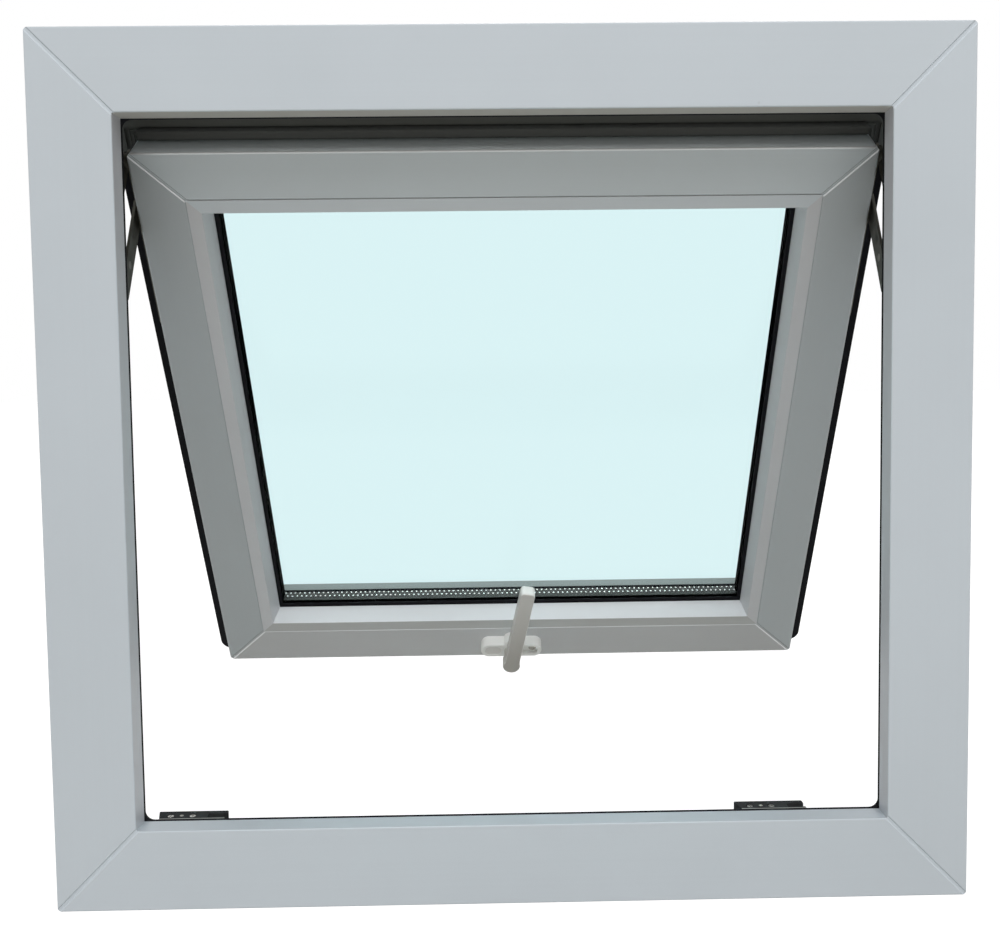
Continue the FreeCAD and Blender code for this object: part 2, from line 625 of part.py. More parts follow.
def handle_lever():
    """Lever: a journal in the plate, a round neck and heel and a tapered grip, leaning as it was left."""
    neck_y = HANDLE_TOP_Y - HANDLE_RUNNING_GAP
    neck_start = Vector(0, neck_y, HANDLE_Z)
    neck = Part.makeCylinder(HANDLE_NECK_RADIUS, HANDLE_NECK_HEIGHT, neck_start, Y_AXIS * -1)
    journal = Part.makeCylinder(HANDLE_JOURNAL_RADIUS, HANDLE_JOURNAL_DEPTH, neck_start, Y_AXIS)
    grip_y = neck_y - HANDLE_NECK_HEIGHT + LEVER_THICKNESS / 2
    root = LEVER_ROOT_WIDTH / 2
    tip = LEVER_TIP_WIDTH / 2
    tip_z = HANDLE_Z + LEVER_LENGTH - LEVER_HEEL_RADIUS
    corners = [
        (-root, HANDLE_Z, 0),
        (root, HANDLE_Z, 0),
        (tip, tip_z, LEVER_TIP_CORNER),
        (-tip, tip_z, LEVER_TIP_CORNER),
    ]
    outline = rounded_outline(corners, lambda x, z: Vector(x, grip_y, z))
    grip = outline.extrude(Y_AXIS * -LEVER_THICKNESS)
    heel = Part.makeCylinder(LEVER_HEEL_RADIUS, LEVER_THICKNESS, Vector(0, grip_y, HANDLE_Z), Y_AXIS * -1)
    lever = grip.fuse(heel).removeSplitter()
    for y in (grip_y, grip_y - LEVER_THICKNESS):
        lever = rimmed(lever, LEVER_ROUND, y)
    lever = lever.fuse([neck, journal]).removeSplitter()
    lever.rotate(Vector(0, 0, HANDLE_Z), Y_AXIS, LEVER_LEAN)
    return lever


def build():
    """Every piece by its node name, in the open pose."""
    pieces = dict(frame_bars())
    pieces["frame_gasket"] = frame_gasket()
    pieces["keeper_left"] = keeper(KEEPER_LEFT_X)
    pieces["keeper_right"] = keeper(KEEPER_RIGHT_X)

    closed_sash = {**sash_bars(), **glazing_beads(), **glazing(), **lock_pieces()}
    closed_sash["sash_gasket"] = sash_gasket()
    closed_sash["stay_sash_bar_right"] = stay_sash_bar()
    closed_sash["stay_sash_bar_left"] = mirrored(stay_sash_bar())
    closed_sash["handle_base"] = handle_base()
    closed_sash["handle_lever"] = handle_lever()
    for name, shape in closed_sash.items():
        pieces[name] = swing_sash(shape)

    pieces["stay_track_right"] = stay_track()
    pieces["stay_track_left"] = mirrored(stay_track())
    pieces["stay_arm_right"] = stay_arm(OPEN_PIVOT_CLEARANCE)
    pieces["stay_arm_left"] = mirrored(stay_arm(RUNNING_CLEARANCE))
    pieces["stay_link_right"] = stay_link()
    pieces["stay_link_left"] = mirrored(stay_link())
    pieces["stay_shoe_right"] = stay_shoe()
    pieces["stay_shoe_left"] = mirrored(stay_shoe())
    return pieces


os.makedirs("parts", exist_ok=True)
for node_name, node_shape in build().items():
    node_shape.exportStep("parts/" + node_name + ".step")
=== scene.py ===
import json
import logging
import math
from dataclasses import dataclass, field
from enum import Enum
from typing import Any, Mapping, Sequence

import bpy
from bpy.types import Material, Mesh, Node, NodeSocket, NodeTree, Object
from mathutils import Matrix, Vector


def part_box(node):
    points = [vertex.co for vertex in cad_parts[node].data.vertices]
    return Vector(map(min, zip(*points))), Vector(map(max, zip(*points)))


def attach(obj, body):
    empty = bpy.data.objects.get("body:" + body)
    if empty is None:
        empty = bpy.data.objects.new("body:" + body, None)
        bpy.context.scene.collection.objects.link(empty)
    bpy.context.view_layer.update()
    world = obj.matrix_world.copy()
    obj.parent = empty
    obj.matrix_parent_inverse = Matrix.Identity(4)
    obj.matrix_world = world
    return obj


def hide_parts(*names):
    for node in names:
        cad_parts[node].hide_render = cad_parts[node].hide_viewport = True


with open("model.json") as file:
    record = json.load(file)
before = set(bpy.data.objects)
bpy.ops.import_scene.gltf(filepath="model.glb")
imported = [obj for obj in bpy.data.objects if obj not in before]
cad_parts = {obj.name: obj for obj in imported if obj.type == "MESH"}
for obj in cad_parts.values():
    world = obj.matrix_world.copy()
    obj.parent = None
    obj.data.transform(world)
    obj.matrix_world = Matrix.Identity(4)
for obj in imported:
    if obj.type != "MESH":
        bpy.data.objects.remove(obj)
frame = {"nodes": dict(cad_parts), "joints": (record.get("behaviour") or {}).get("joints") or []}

# Looks of a top hung awning window: welded plastic frame, glazed sash on friction stays, lever handle.
# Metres. X runs to the right seen from the room, Y from the room to the outside, Z up.

log = logging.getLogger("awning_window")

Colour = tuple[float, float, float, float]
Band = tuple[float, float]
Inputs = Mapping[str | int, Any]

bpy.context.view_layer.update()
PHOTO_WIDTH = 1000.0
PHOTO_HEIGHT = 928.0
WHITE: Colour = (1.0, 1.0, 1.0, 1.0)
RIGHTWARD = Vector((1.0, 0.0, 0.0))
LEFTWARD = Vector((-1.0, 0.0, 0.0))
OUTWARD = Vector((0.0, 1.0, 0.0))
ROOMWARD = Vector((0.0, -1.0, 0.0))
UPWARD = Vector((0.0, 0.0, 1.0))
DOWNWARD = Vector((0.0, 0.0, -1.0))
HEAD_SIDES = 24
HEAD_RINGS = 10
HOLE_SIDES = 10
SECTION_CORNER_STEPS = 6


class Body(Enum):
    """Bodies that the pieces ride on."""

    FRAME = "frame"
    SASH = "sash"
    ARM_LEFT = "stay_arm_left"
    ARM_RIGHT = "stay_arm_right"
    LINK_LEFT = "stay_link_left"
    LINK_RIGHT = "stay_link_right"


class Slot(Enum):
    """Material slots of the record, which each piece names but does not apply."""

    SEAL = "seal_rubber"
    SPACER = "spacer_metal"
    STAY = "stay_steel"
    LOCK = "lock_steel"
    HANDLE = "handle_paint"


class Run(Enum):
    """Which way a profile was drawn: along the sill or up the jamb."""

    ACROSS = "across"
    UPRIGHT = "upright"


class Side(Enum):
    """The two sides of the window, as the sign of X."""

    LEFT = -1
    RIGHT = 1


def linear(*screen: int) -> Colour:
    """Turn a screen colour into the linear colour that a shader takes.

    Args:
        *screen: Red, green and blue from 0 to 255.

    Returns:
        Linear red, green, blue and an alpha of 1.
    """
    parts = [part / 255 for part in screen]
    light = [part / 12.92 if part <= 0.04045 else ((part + 0.055) / 1.055) ** 2.4 for part in parts]
    return (light[0], light[1], light[2], 1.0)


class Value:
    """A socket of a node tree, with the arithmetic that shader maths needs."""

    def __init__(self, sheet: "NodeSheet", socket: NodeSocket) -> None:
        """Keep the socket and the sheet that its Math nodes go on."""
        self.sheet = sheet
        self.socket = socket

    def _math(self, operation: str, first: Any, second: Any) -> "Value":
        """Add one Math node for two inputs, each a value or a number."""
        return self.sheet.out("ShaderNodeMath", {0: first, 1: second}, operation=operation)

    def __add__(self, other: Any) -> "Value":
        """Sum."""
        return self._math("ADD", self, other)

    __radd__ = __add__

    def __sub__(self, other: Any) -> "Value":
        """Difference."""
        return self._math("SUBTRACT", self, other)

    def __rsub__(self, other: Any) -> "Value":
        """Difference with a number in front."""
        return self._math("SUBTRACT", other, self)

    def __mul__(self, other: Any) -> "Value":
        """Product."""
        return self._math("MULTIPLY", self, other)

    __rmul__ = __mul__

    def __gt__(self, other: Any) -> "Value":
        """One where this is the greater, else zero."""
        return self._math("GREATER_THAN", self, other)

    def __abs__(self) -> "Value":
        """Size without sign."""
        return self._math("ABSOLUTE", self, 0.0)

    def highest(self, other: Any) -> "Value":
        """The greater of two."""
        return self._math("MAXIMUM", self, other)

    def ramp(self, low: float, high: float) -> "Value":
        """Rise smoothly from 0 at the low bound to 1 at the high one."""
        bounds = {"Value": self, "From Min": low, "From Max": high}
        return self.sheet.out("ShaderNodeMapRange", bounds, interpolation_type="SMOOTHSTEP")


class NodeSheet:
    """A node tree that nodes are written on, for shaders and for geometry."""

    def __init__(self, tree: NodeTree) -> None:
        """Start on an emptied tree."""
        self.tree = tree
        tree.nodes.clear()

    def node(self, kind: str, inputs: Inputs | None = None, **settings: Any) -> Node:
        """Add one node: its settings first, then the values or links of its sockets.

        Args:
            kind: The node's type.
            inputs: Values, numbers or links by socket name or number; a list links several.
            **settings: Attributes of the node.

        Returns:
            The new node.
        """
        made = self.tree.nodes.new(kind)
        for name, setting in settings.items():
            setattr(made, name, setting)
        for key, given in (inputs or {}).items():
            for entry in given if isinstance(given, list) else [given]:
                if isinstance(entry, Value):
                    self.tree.links.new(entry.socket, made.inputs[key])
                else:
                    made.inputs[key].default_value = entry
        return made

    def out(self, kind: str, inputs: Inputs | None = None, output: str | int = 0, **settings: Any) -> Value:
        """Add one node and take one of its outputs, by name or number."""
        return Value(self, self.node(kind, inputs, **settings).outputs[output])

    def mix(self, share: Any, first: Any, second: Any) -> Value:
        """Mix two colours, by the share of the second."""
        return self.out("ShaderNodeMix", {0: share, 6: first, 7: second}, 2, data_type="RGBA")


class MaterialSheet(NodeSheet):
    """A material's node tree, read in Object coordinates, that ends in one Principled shader."""

    def __init__(self, name: str, lean: float = 0.0) -> None:
        """Make the material and its coordinates.

        Args:
            name: The material's name.
            lean: How far the piece leans about X, by which its coordinates are turned back.
        """
        self.material = bpy.data.materials.new(name)
        self.material.use_nodes = True
        super().__init__(self.material.node_tree)
        self.lean = lean
        place = self.out("ShaderNodeTexCoord", output="Object")
        self.place = self.out("ShaderNodeMapping", {"Vector": place, "Rotation": (-lean, 0.0, 0.0)},
                              vector_type="POINT")

    def noise(self, scale: float, detail: float = 3.0) -> Value:
        """Noise from 0 to 1, with so many grains to a metre and so many finer layers."""
        return self.out("ShaderNodeTexNoise", {"Vector": self.place, "Scale": scale, "Detail": detail})

    def streaks(self, *scale: float) -> Value:
        """Noise from 0 to 1 that is drawn out, with so many grains to a metre along each axis."""
        drawn = self.out("ShaderNodeVectorMath", {0: self.place, 1: scale}, operation="MULTIPLY")
        return self.out("ShaderNodeTexNoise", {"Vector": drawn, "Scale": 1.0, "Detail": 2.0})

    def along(self, axis: str) -> Value:
        """Where the surface is along one axis."""
        return self.out("ShaderNodeSeparateXYZ", {0: self.place}, axis)

    def facing(self, way: Vector) -> Value:
        """Tell how far the surface faces one way of the upright piece.

        Args:
            way: The direction, as a vector of length 1.

        Returns:
            From 1 where it faces that way to -1 where it faces away.
        """
        leaning = tuple(Matrix.Rotation(self.lean, 3, "X") @ way)
        normal = self.out("ShaderNodeTexCoord", output="Normal")
        return self.out("ShaderNodeVectorMath", {0: normal, 1: leaning}, "Value", operation="DOT_PRODUCT")

    def bump(self, height: Value, strength: float, depth: float = 0.0001) -> Value:
        """The normal bent by a height from 0 to 1, with its strength and its real depth."""
        return self.out("ShaderNodeBump", {"Height": height, "Strength": strength, "Distance": depth})

    def finish(self, **sockets: Any) -> Material:
        """Close the tree with a Principled shader.

        Args:
            **sockets: Its inputs, with underscores for spaces.

        Returns:
            The finished material.
        """
        inputs = {name.replace("_", " "): given for name, given in sockets.items()}
        shader = self.out("ShaderNodeBsdfPrincipled", inputs)
        self.node("ShaderNodeOutputMaterial", {"Surface": shader})
        return self.material


@dataclass(frozen=True)
class PlasticFinish:
    """White window plastic: satin, with faint drawing streaks and a few specks of dirt.

    On the sash, front edges that face up carry a painted highlight and those that face down a painted
    shade. Faces that face up can take a painted upper tone, and a painted shade deepens into up-facing
    faces of the sash's walls.
    """

    name: str
    run: Run
    colour: Colour
    lean: float = 0.0
    front: float = -1.0
    painted_upper_share: float = 0.0
    reveal: float = 0.0
    reveal_tone: Colour = linear(208, 204, 194)
    dust: Colour = linear(144, 148, 154)
    speck: Colour = linear(120, 118, 110)
    wall_shade: Colour = linear(86, 97, 102)
    ledge_tone: Colour = linear(114, 104, 96)
    edge_shade: Colour = linear(66, 67, 64)
    edge_highlight: Colour = linear(242, 244, 245)
    shade: float = 0.93
    roughness: float = 0.34
    grains_along: float = 1.5
    grains_across: float = 420.0
    skin_grains: float = 1400.0
    cloud_grains: float = 5.0
    cloud_band: Band = (0.35, 0.75)
    cloud_share: float = 0.55
    streak_share: float = 0.25
    speck_grains: float = 62.0
    speck_band: Band = (0.83, 0.87)
    speck_share: float = 0.35
    wall_shade_share: float = 0.6
    ledge_tone_share: float = 0.8
    edge_shade_share: float = 0.6
    highlight_metal: float = 0.4
    slanted: Band = (0.25, 0.45)
    square: Band = (0.9, 0.96)
    level: Band = (0.92, 0.99)
    painted_upper_ramp: Band = (0.6, 0.9)
    edge_band: Band = (0.0014, 0.00224)
    wall_start: Band = (0.006, 0.032)
    wall_end: Band = (0.041, 0.042)
    ledge_start: Band = (0.046, 0.047)
    ledge_end: Band = (0.2, 0.3)

    def material(self) -> Material:
        """Build the material.

        Returns:
            The material.
        """
        sheet = MaterialSheet(self.name, self.lean)
        along, across = self.grains_along, self.grains_across
        scale = (along, across, across) if self.run is Run.ACROSS else (across, across, along)
        streaks = sheet.streaks(*scale)
        clouds = sheet.noise(self.cloud_grains)
        skin = sheet.noise(self.skin_grains, 1.0)
        specks = sheet.noise(self.speck_grains, 1.0).ramp(*self.speck_band)
        darker = tuple(part * self.shade for part in self.colour[:3]) + (1.0,)
        uneven = clouds.ramp(*self.cloud_band) * self.cloud_share + streaks * self.streak_share
        colour = sheet.mix(uneven, self.colour, darker)
        colour = sheet.mix(specks * self.speck_share, colour, self.speck)
        up = sheet.facing(UPWARD)
        depth = sheet.along("Y") - self.front
        edge = 1.0 - depth.ramp(*self.edge_band)
        # Painted highlight on front edges that face up, painted shade on those that face down.
        painted_highlight = edge * up.ramp(*self.slanted) * (1.0 - up.ramp(*self.level))
        painted_shade = edge * (-1.0 * up).ramp(*self.slanted)
        # Painted shade that deepens from the front into up-facing faces of the sash's walls.
        wall = depth.ramp(*self.wall_start) * (1.0 - depth.ramp(*self.wall_end))
        # A darker, warmer tone on up-facing faces further out, on the outer leg.
        ledge = depth.ramp(*self.ledge_start) * (1.0 - depth.ramp(*self.ledge_end))
        colour = sheet.mix(up.ramp(*self.square) * wall * self.wall_shade_share, colour, self.wall_shade)
        colour = sheet.mix(up.ramp(*self.square) * ledge * self.ledge_tone_share, colour, self.ledge_tone)
        # Up-facing faces take the painted upper tone: painted light on the bead slopes, painted shade on
        # the frame's tops.
        colour = sheet.mix(up.ramp(*self.painted_upper_ramp) * self.painted_upper_share, colour, self.dust)
        inward = -1.0 * up
        if self.run is Run.UPRIGHT:
            # Rightward on the left side of the window, leftward on the right side.
            inward = sheet.facing(RIGHTWARD) * (1.0 - (sheet.along("X") > 0.0) * 2.0)
        # Faces turned into the opening take a darker, warmer tone.
        colour = sheet.mix(inward.ramp(*self.square) * self.reveal, colour, self.reveal_tone)
        colour = sheet.mix(painted_shade * self.edge_shade_share, colour, self.edge_shade)
        colour = sheet.mix(painted_highlight, colour, self.edge_highlight)
        return sheet.finish(
            Base_Color=colour,
            Roughness=self.roughness + clouds * 0.10 + streaks * 0.04,
            Metallic=painted_highlight * self.highlight_metal,
            Normal=sheet.bump(streaks * 0.6 + skin * 0.4, strength=0.10, depth=0.00012),
            IOR=1.5,
            Specular_IOR_Level=0.45,
        )


@dataclass(frozen=True)
class RubberFinish:
    """Black seal rubber, matt with a fine skin, and grey above a height: a painted shade for the shaded
    rebate at the head.
    """

    name: str = "black_seal"
    painted_tone_above: float = 10.0
    dust: Colour = linear(110, 112, 109)
    black: Colour = linear(18, 18, 22)
    wear_and_highlight: Colour = linear(32, 33, 37)
    wear_and_highlight_band: Band = (0.45, 0.8)
    cloud_grains: float = 90.0
    skin_grains: float = 1800.0
    roughness: float = 0.6
    painted_upper_ramp: float = 0.012

    def material(self) -> Material:
        """Build the material.

        Returns:
            The material.
        """
        sheet = MaterialSheet(self.name)
        clouds = sheet.noise(self.cloud_grains)
        skin = sheet.noise(self.skin_grains, 1.0)
        colour = sheet.mix(clouds.ramp(*self.wear_and_highlight_band), self.black, self.wear_and_highlight)
        # Painted shade: above a height the black turns grey, for the shaded rebate at the head.
        painted_upper_share = sheet.along("Z").ramp(self.painted_tone_above, self.painted_tone_above + self.painted_upper_ramp)
        return sheet.finish(
            Base_Color=sheet.mix(painted_upper_share, colour, self.dust),
            Roughness=self.roughness + clouds * 0.2,
            Normal=sheet.bump(skin, strength=0.2),
            Specular_IOR_Level=0.12,
        )


@dataclass(frozen=True)
class GlassFinish:
    """Clear float glass with a faint blue green tint."""

    name: str = "float_glass"
    tint: Colour = linear(236, 249, 250)
    bend: float = 1.15
    smear_grains: float = 14.0
    smear_band: Band = (0.5, 0.9)
    smear_roughness: float = 0.015

    def material(self) -> Material:
        """Build the material.

        Returns:
            The material.
        """
        sheet = MaterialSheet(self.name)
        smear = sheet.noise(self.smear_grains).ramp(*self.smear_band)
        return sheet.finish(
            Base_Color=self.tint,
            Roughness=smear * self.smear_roughness,
            IOR=self.bend,
            Transmission_Weight=1.0,
        )


@dataclass(frozen=True)
class SpacerFinish:
    """Spacer bar between the panes: satin aluminium along the bottom and top, dark sealant up the sides."""

    name: str = "spacer_bar"
    lean: float = 0.0
    metal_dark: Colour = linear(50, 48, 47)
    metal_pale: Colour = linear(82, 80, 78)
    sealant: Colour = linear(6, 6, 7)
    brush_grains: tuple[float, ...] = (6.0, 900.0, 900.0)
    roughness: float = 0.36
    metal: float = 0.9
    level: float = 0.7

    def material(self) -> Material:
        """Build the material.

        Returns:
            The material.
        """
        sheet = MaterialSheet(self.name, self.lean)
        brushed = sheet.streaks(*self.brush_grains)
        flat = abs(sheet.facing(UPWARD)) > self.level
        metal = sheet.mix(brushed, self.metal_dark, self.metal_pale)
        return sheet.finish(
            Base_Color=sheet.mix(flat, self.sealant, metal),
            Metallic=flat * self.metal,
            Roughness=self.roughness + brushed * 0.15,
            Specular_IOR_Level=0.0,
            Normal=sheet.bump(brushed, strength=0.15),
        )


@dataclass(frozen=True)
class SteelFinish:
    """Steel of the stays, the lock and their screws: brushed or plated, with darker handling marks, and on
    the keepers a painted highlight line.
    """

    name: str
    bright: Colour
    dull: Colour
    roughness: float = 0.32
    grain: float = 0.25
    highlight_at: float = 1.0
    wear_and_highlight_band: Band = (0.0006, 0.0012)
    wear_and_highlight: Colour = linear(176, 176, 172)
    highlight_share: float = 0.8
    mark_grains: float = 70.0
    mark_band: Band = (0.4, 0.75)
    mark_share: float = 0.5
    brush_share: float = 0.3
    metal: float = 1.0
    brush_grains: tuple[float, ...] = (700.0, 700.0, 25.0)

    def material(self) -> Material:
        """Build the material.

        Returns:
            The material.
        """
        sheet = MaterialSheet(self.name)
        brushed = sheet.streaks(*self.brush_grains)
        marks = sheet.noise(self.mark_grains).ramp(*self.mark_band)
        colour = sheet.mix(marks * self.mark_share + brushed * self.brush_share, self.bright, self.dull)
        # Painted highlight: a bright line along X at one depth, set on the keepers.
        wear_and_highlight = 1.0 - abs(sheet.along("Y") - self.highlight_at).ramp(*self.wear_and_highlight_band)
        return sheet.finish(
            Base_Color=sheet.mix(wear_and_highlight * self.highlight_share, colour, self.wear_and_highlight),
            Metallic=self.metal,
            Roughness=self.roughness + marks * 0.15,
            Specular_IOR_Level=0.5 * self.metal,
            Normal=sheet.bump(brushed, self.grain),
        )


@dataclass(frozen=True)
class PaintFinish:
    """Warm white powder coat of the handle, with a fine orange peel, and painted shade on the front and
    left side that darkens towards the heel.
    """

    name: str
    lean: float
    shade_share: float = 0.0
    heel: float = 0.0
    tip: float = 1.0
    colour: Colour = linear(255, 255, 252)
    cloudy: Colour = linear(247, 247, 242)
    shade_heel: Colour = linear(172, 166, 158)
    shade_tip: Colour = linear(224, 220, 215)
    shade_band: Band = (0.5, 0.9)
    peel_grains: float = 900.0
    cloud_grains: float = 30.0
    cloud_band: Band = (0.4, 0.8)
    cloud_share: float = 0.5
    roughness: float = 0.36

    def material(self) -> Material:
        """Build the material.

        Returns:
            The material.
        """
        sheet = MaterialSheet(self.name, self.lean)
        peel = sheet.noise(self.peel_grains, 1.0)
        clouds = sheet.noise(self.cloud_grains)
        uneven = clouds.ramp(*self.cloud_band) * self.cloud_share
        colour = sheet.mix(uneven, self.colour, self.cloudy)
        # Painted shade: faces turned to the room and to the left darken, more towards the lever's heel.
        front, left = (sheet.facing(way).ramp(*self.shade_band) for way in (ROOMWARD, LEFTWARD))
        along = sheet.along("Z").ramp(self.heel, self.tip)
        shade_colour = sheet.mix(along, self.shade_heel, self.shade_tip)
        return sheet.finish(
            Base_Color=sheet.mix(front.highest(left) * self.shade_share, colour, shade_colour),
            Roughness=self.roughness + clouds * 0.1,
            Normal=sheet.bump(peel, strength=0.12, depth=0.00015),
        )


@dataclass(frozen=True)
class HungPose:
    """How far the sash hangs open, and where its closed pieces are carried to."""

    angle: float
    closed_pivot: Vector
    open_pivot: Vector

    @classmethod
    def from_joints(cls, joints: Sequence[Mapping[str, Any]]) -> "HungPose":
        """Read the pose from the stay arm's and the sash's joints.

        Args:
            joints: The record's joints.

        Returns:
            The pose at rest.
        """
        by_name = {joint["name"]: joint for joint in joints}
        arm = by_name["stay_arm_left_swing"]
        foot = Vector((0.0, *arm["pos_m"][1:]))
        hung = Vector((0.0, *by_name["sash_swing"]["pos_m"][1:]))
        angle = -math.radians(arm["range_deg"][0])
        closed = foot + Matrix.Rotation(angle, 3, "X") @ (hung - foot)
        return cls(angle, closed, hung)

    def matrix(self) -> Matrix:
        """What carries a piece of the closed sash to where it hangs."""
        turn = Matrix.Rotation(self.angle, 4, "X")
        return Matrix.Translation(self.open_pivot) @ turn @ Matrix.Translation(-self.closed_pivot)

    def placed(self, x: float, y: float, z: float) -> Vector:
        """Where a place of the closed sash hangs."""
        return self.matrix() @ Vector((x, y, z))

    def turned(self, way: Vector) -> Vector:
        """The way that a direction of the closed sash points as it hangs."""
        return self.matrix().to_3x3() @ way

    def turned_back(self, place: Vector) -> Vector:
        """What a material with the sash's lean reads at a place of the closed sash."""
        return Matrix.Rotation(-self.angle, 3, "X") @ (self.matrix() @ place)

    def closed_box(self, node: str) -> tuple[Vector, Vector]:
        """Find a sash node's corners as they are in the closed window.

        Args:
            node: The node's name.

        Returns:
            Lowest and highest corner.
        """
        back = self.matrix().inverted()
        points = [back @ vertex.co for vertex in frame["nodes"][node].data.vertices]
        low = Vector([min(point[axis] for point in points) for axis in range(3)])
        high = Vector([max(point[axis] for point in points) for axis in range(3)])
        return low, high


class GrowthTree(NodeSheet):
    """A geometry node tree with named inputs, which turns points into real geometry with a finish."""

    def __init__(self, name: str, numbers: Mapping[str, float]) -> None:
        """Make the tree with its geometry and finish sockets.

        Args:
            name: The tree's name.
            numbers: Its number inputs, each with the value that it has where none is set.
        """
        tree = bpy.data.node_groups.new(name, "GeometryNodeTree")
        tree.interface.new_socket("Geometry", in_out="INPUT", socket_type="NodeSocketGeometry")
        tree.interface.new_socket("Geometry", in_out="OUTPUT", socket_type="NodeSocketGeometry")
        tree.interface.new_socket("Finish", in_out="INPUT", socket_type="NodeSocketMaterial")
        for label, number in numbers.items():
            socket = tree.interface.new_socket(label, in_out="INPUT", socket_type="NodeSocketFloat")
            socket.default_value = number
        super().__init__(tree)
        self.entry = self.node("NodeGroupInput")

    def given(self, label: str) -> Value:
        """One of the tree's inputs."""
        return Value(self, self.entry.outputs[label])

    def vector(self, x: Any, y: Any, z: Any) -> Value:
        """Three numbers as one vector."""
        return self.out("ShaderNodeCombineXYZ", {0: x, 1: y, 2: z})

    def path(self) -> Value:
        """The path along the edges of the tree's points."""
        return self.out("GeometryNodeMeshToCurve", {"Mesh": self.given("Geometry")})

    def facing(self) -> Value:
        """The way that each point faces."""
        return self.out("GeometryNodeInputNamedAttribute", {"Name": "facing"}, data_type="FLOAT_VECTOR")

    def on_points(self, points: Value, shape: Value) -> Value:
        """Set a shape that faces up on points, each turned to face the way that its point says."""
        turn = self.out("FunctionNodeAlignRotationToVector", {"Vector": self.facing()}, axis="Z")
        return self.out("GeometryNodeInstanceOnPoints",
                        {"Points": points, "Instance": shape, "Rotation": turn})

    def close(self, shape: Value, smooth: bool = False) -> NodeTree:
        """End the tree: real geometry with its finish.

        Args:
            shape: What the tree has made.
            smooth: Whether its faces are shaded smooth.

        Returns:
            The tree.
        """
        real = self.out("GeometryNodeRealizeInstances", {"Geometry": shape})
        shaded = self.out("GeometryNodeSetShadeSmooth", {"Geometry": real, "Shade Smooth": smooth})
        done = self.out("GeometryNodeSetMaterial", {"Geometry": shaded, "Material": self.given("Finish")})
        self.node("NodeGroupOutput", {"Geometry": done})
        return self.tree


def screw_tree() -> NodeTree:
    """Build the tree of cross recessed screw heads, one on each point.

    Returns:
        The tree, with the sizes of the head and of its recess as inputs.
    """
    numbers = {"Head Radius": 0.003, "Head Height": 0.001, "Top Share": 0.78,
               "Recess Share": 0.55, "Recess Slimness": 0.28, "Recess Depth": 0.0008}
    sheet = GrowthTree("screw_heads", numbers)
    radius, height = sheet.given("Head Radius"), sheet.given("Head Height")
    cone = {"Vertices": HEAD_SIDES, "Radius Top": radius * sheet.given("Top Share"),
            "Radius Bottom": radius, "Depth": height}
    head = sheet.out("GeometryNodeMeshCone", cone)
    length = radius * sheet.given("Recess Share") * 2.0
    width = length * sheet.given("Recess Slimness")
    deep = sheet.given("Recess Depth") * 2.0
    lift = sheet.vector(0.0, 0.0, height)
    bars = []
    for sizes in ((length, width, deep), (width, length, deep)):
        bar = sheet.out("GeometryNodeMeshCube", {"Size": sheet.vector(*sizes)})
        bars.append(sheet.out("GeometryNodeTransform", {"Geometry": bar, "Translation": lift}))
    cut = sheet.out("GeometryNodeMeshBoolean", {"Mesh 1": head, "Mesh 2": bars},
                    operation="DIFFERENCE", solver="EXACT")
    return sheet.close(sheet.on_points(sheet.given("Geometry"), cut))


def rivet_tree() -> NodeTree:
    """Build the tree of low rivet heads, one on each point.

    Returns:
        The tree, with the head's radius and height as inputs.
    """
    sheet = GrowthTree("rivet_heads", {"Head Radius": 0.005, "Head Height": 0.00025})
    radius = sheet.given("Head Radius")
    ball = sheet.out("GeometryNodeMeshUVSphere",
                     {"Segments": HEAD_SIDES, "Rings": HEAD_RINGS, "Radius": 1.0})
    size = sheet.vector(radius, radius, sheet.given("Head Height"))
    head = sheet.out("GeometryNodeTransform", {"Geometry": ball, "Scale": size})
    return sheet.close(sheet.on_points(sheet.given("Geometry"), head), smooth=True)


def perforation_tree() -> NodeTree:
    """Build the tree of perforations at an even pitch along paths, each a thin disc half in its face.

    Returns:
        The tree, with the pitch and the disc's radius and depth as inputs.
    """
    sheet = GrowthTree("perforations", {"Pitch": 0.005, "Hole Radius": 0.0008, "Hole Depth": 0.0001})
    even = sheet.out("GeometryNodeResampleCurve", {"Curve": sheet.path(), "Length": sheet.given("Pitch")},
                     mode="LENGTH")
    points = sheet.out("GeometryNodeCurveToPoints", {"Curve": even}, mode="EVALUATED")
    radius, depth = sheet.given("Hole Radius"), sheet.given("Hole Depth")
    hole = sheet.out("GeometryNodeMeshCylinder", {"Vertices": HOLE_SIDES, "Radius": radius, "Depth": depth},
                     fill_type="NGON")
    return sheet.close(sheet.on_points(points, hole))


def seal_tree() -> NodeTree:
    """Build the tree that draws a rounded section along a path.

    Returns:
        The tree, with the section's width, depth and corner radius as inputs.
    """
    sheet = GrowthTree("drawn_seal", {"Section Width": 0.009, "Section Depth": 0.004, "Corner": 0.002})
    depth, width, corner = (sheet.given(label) for label in ("Section Depth", "Section Width", "Corner"))
    steady = sheet.out("GeometryNodeSetCurveNormal", {"Curve": sheet.path(), "Normal": sheet.facing()},
                       mode="FREE")
    box = sheet.out("GeometryNodeCurvePrimitiveQuadrilateral", {"Width": depth, "Height": width},
                    mode="RECTANGLE")
    rounded = sheet.out("GeometryNodeFilletCurve",
                        {"Curve": box, "Count": SECTION_CORNER_STEPS, "Radius": corner}, mode="POLY")
    drawn = sheet.out("GeometryNodeCurveToMesh",
                      {"Curve": steady, "Profile Curve": rounded, "Fill Caps": True})
    return sheet.close(drawn, smooth=True)


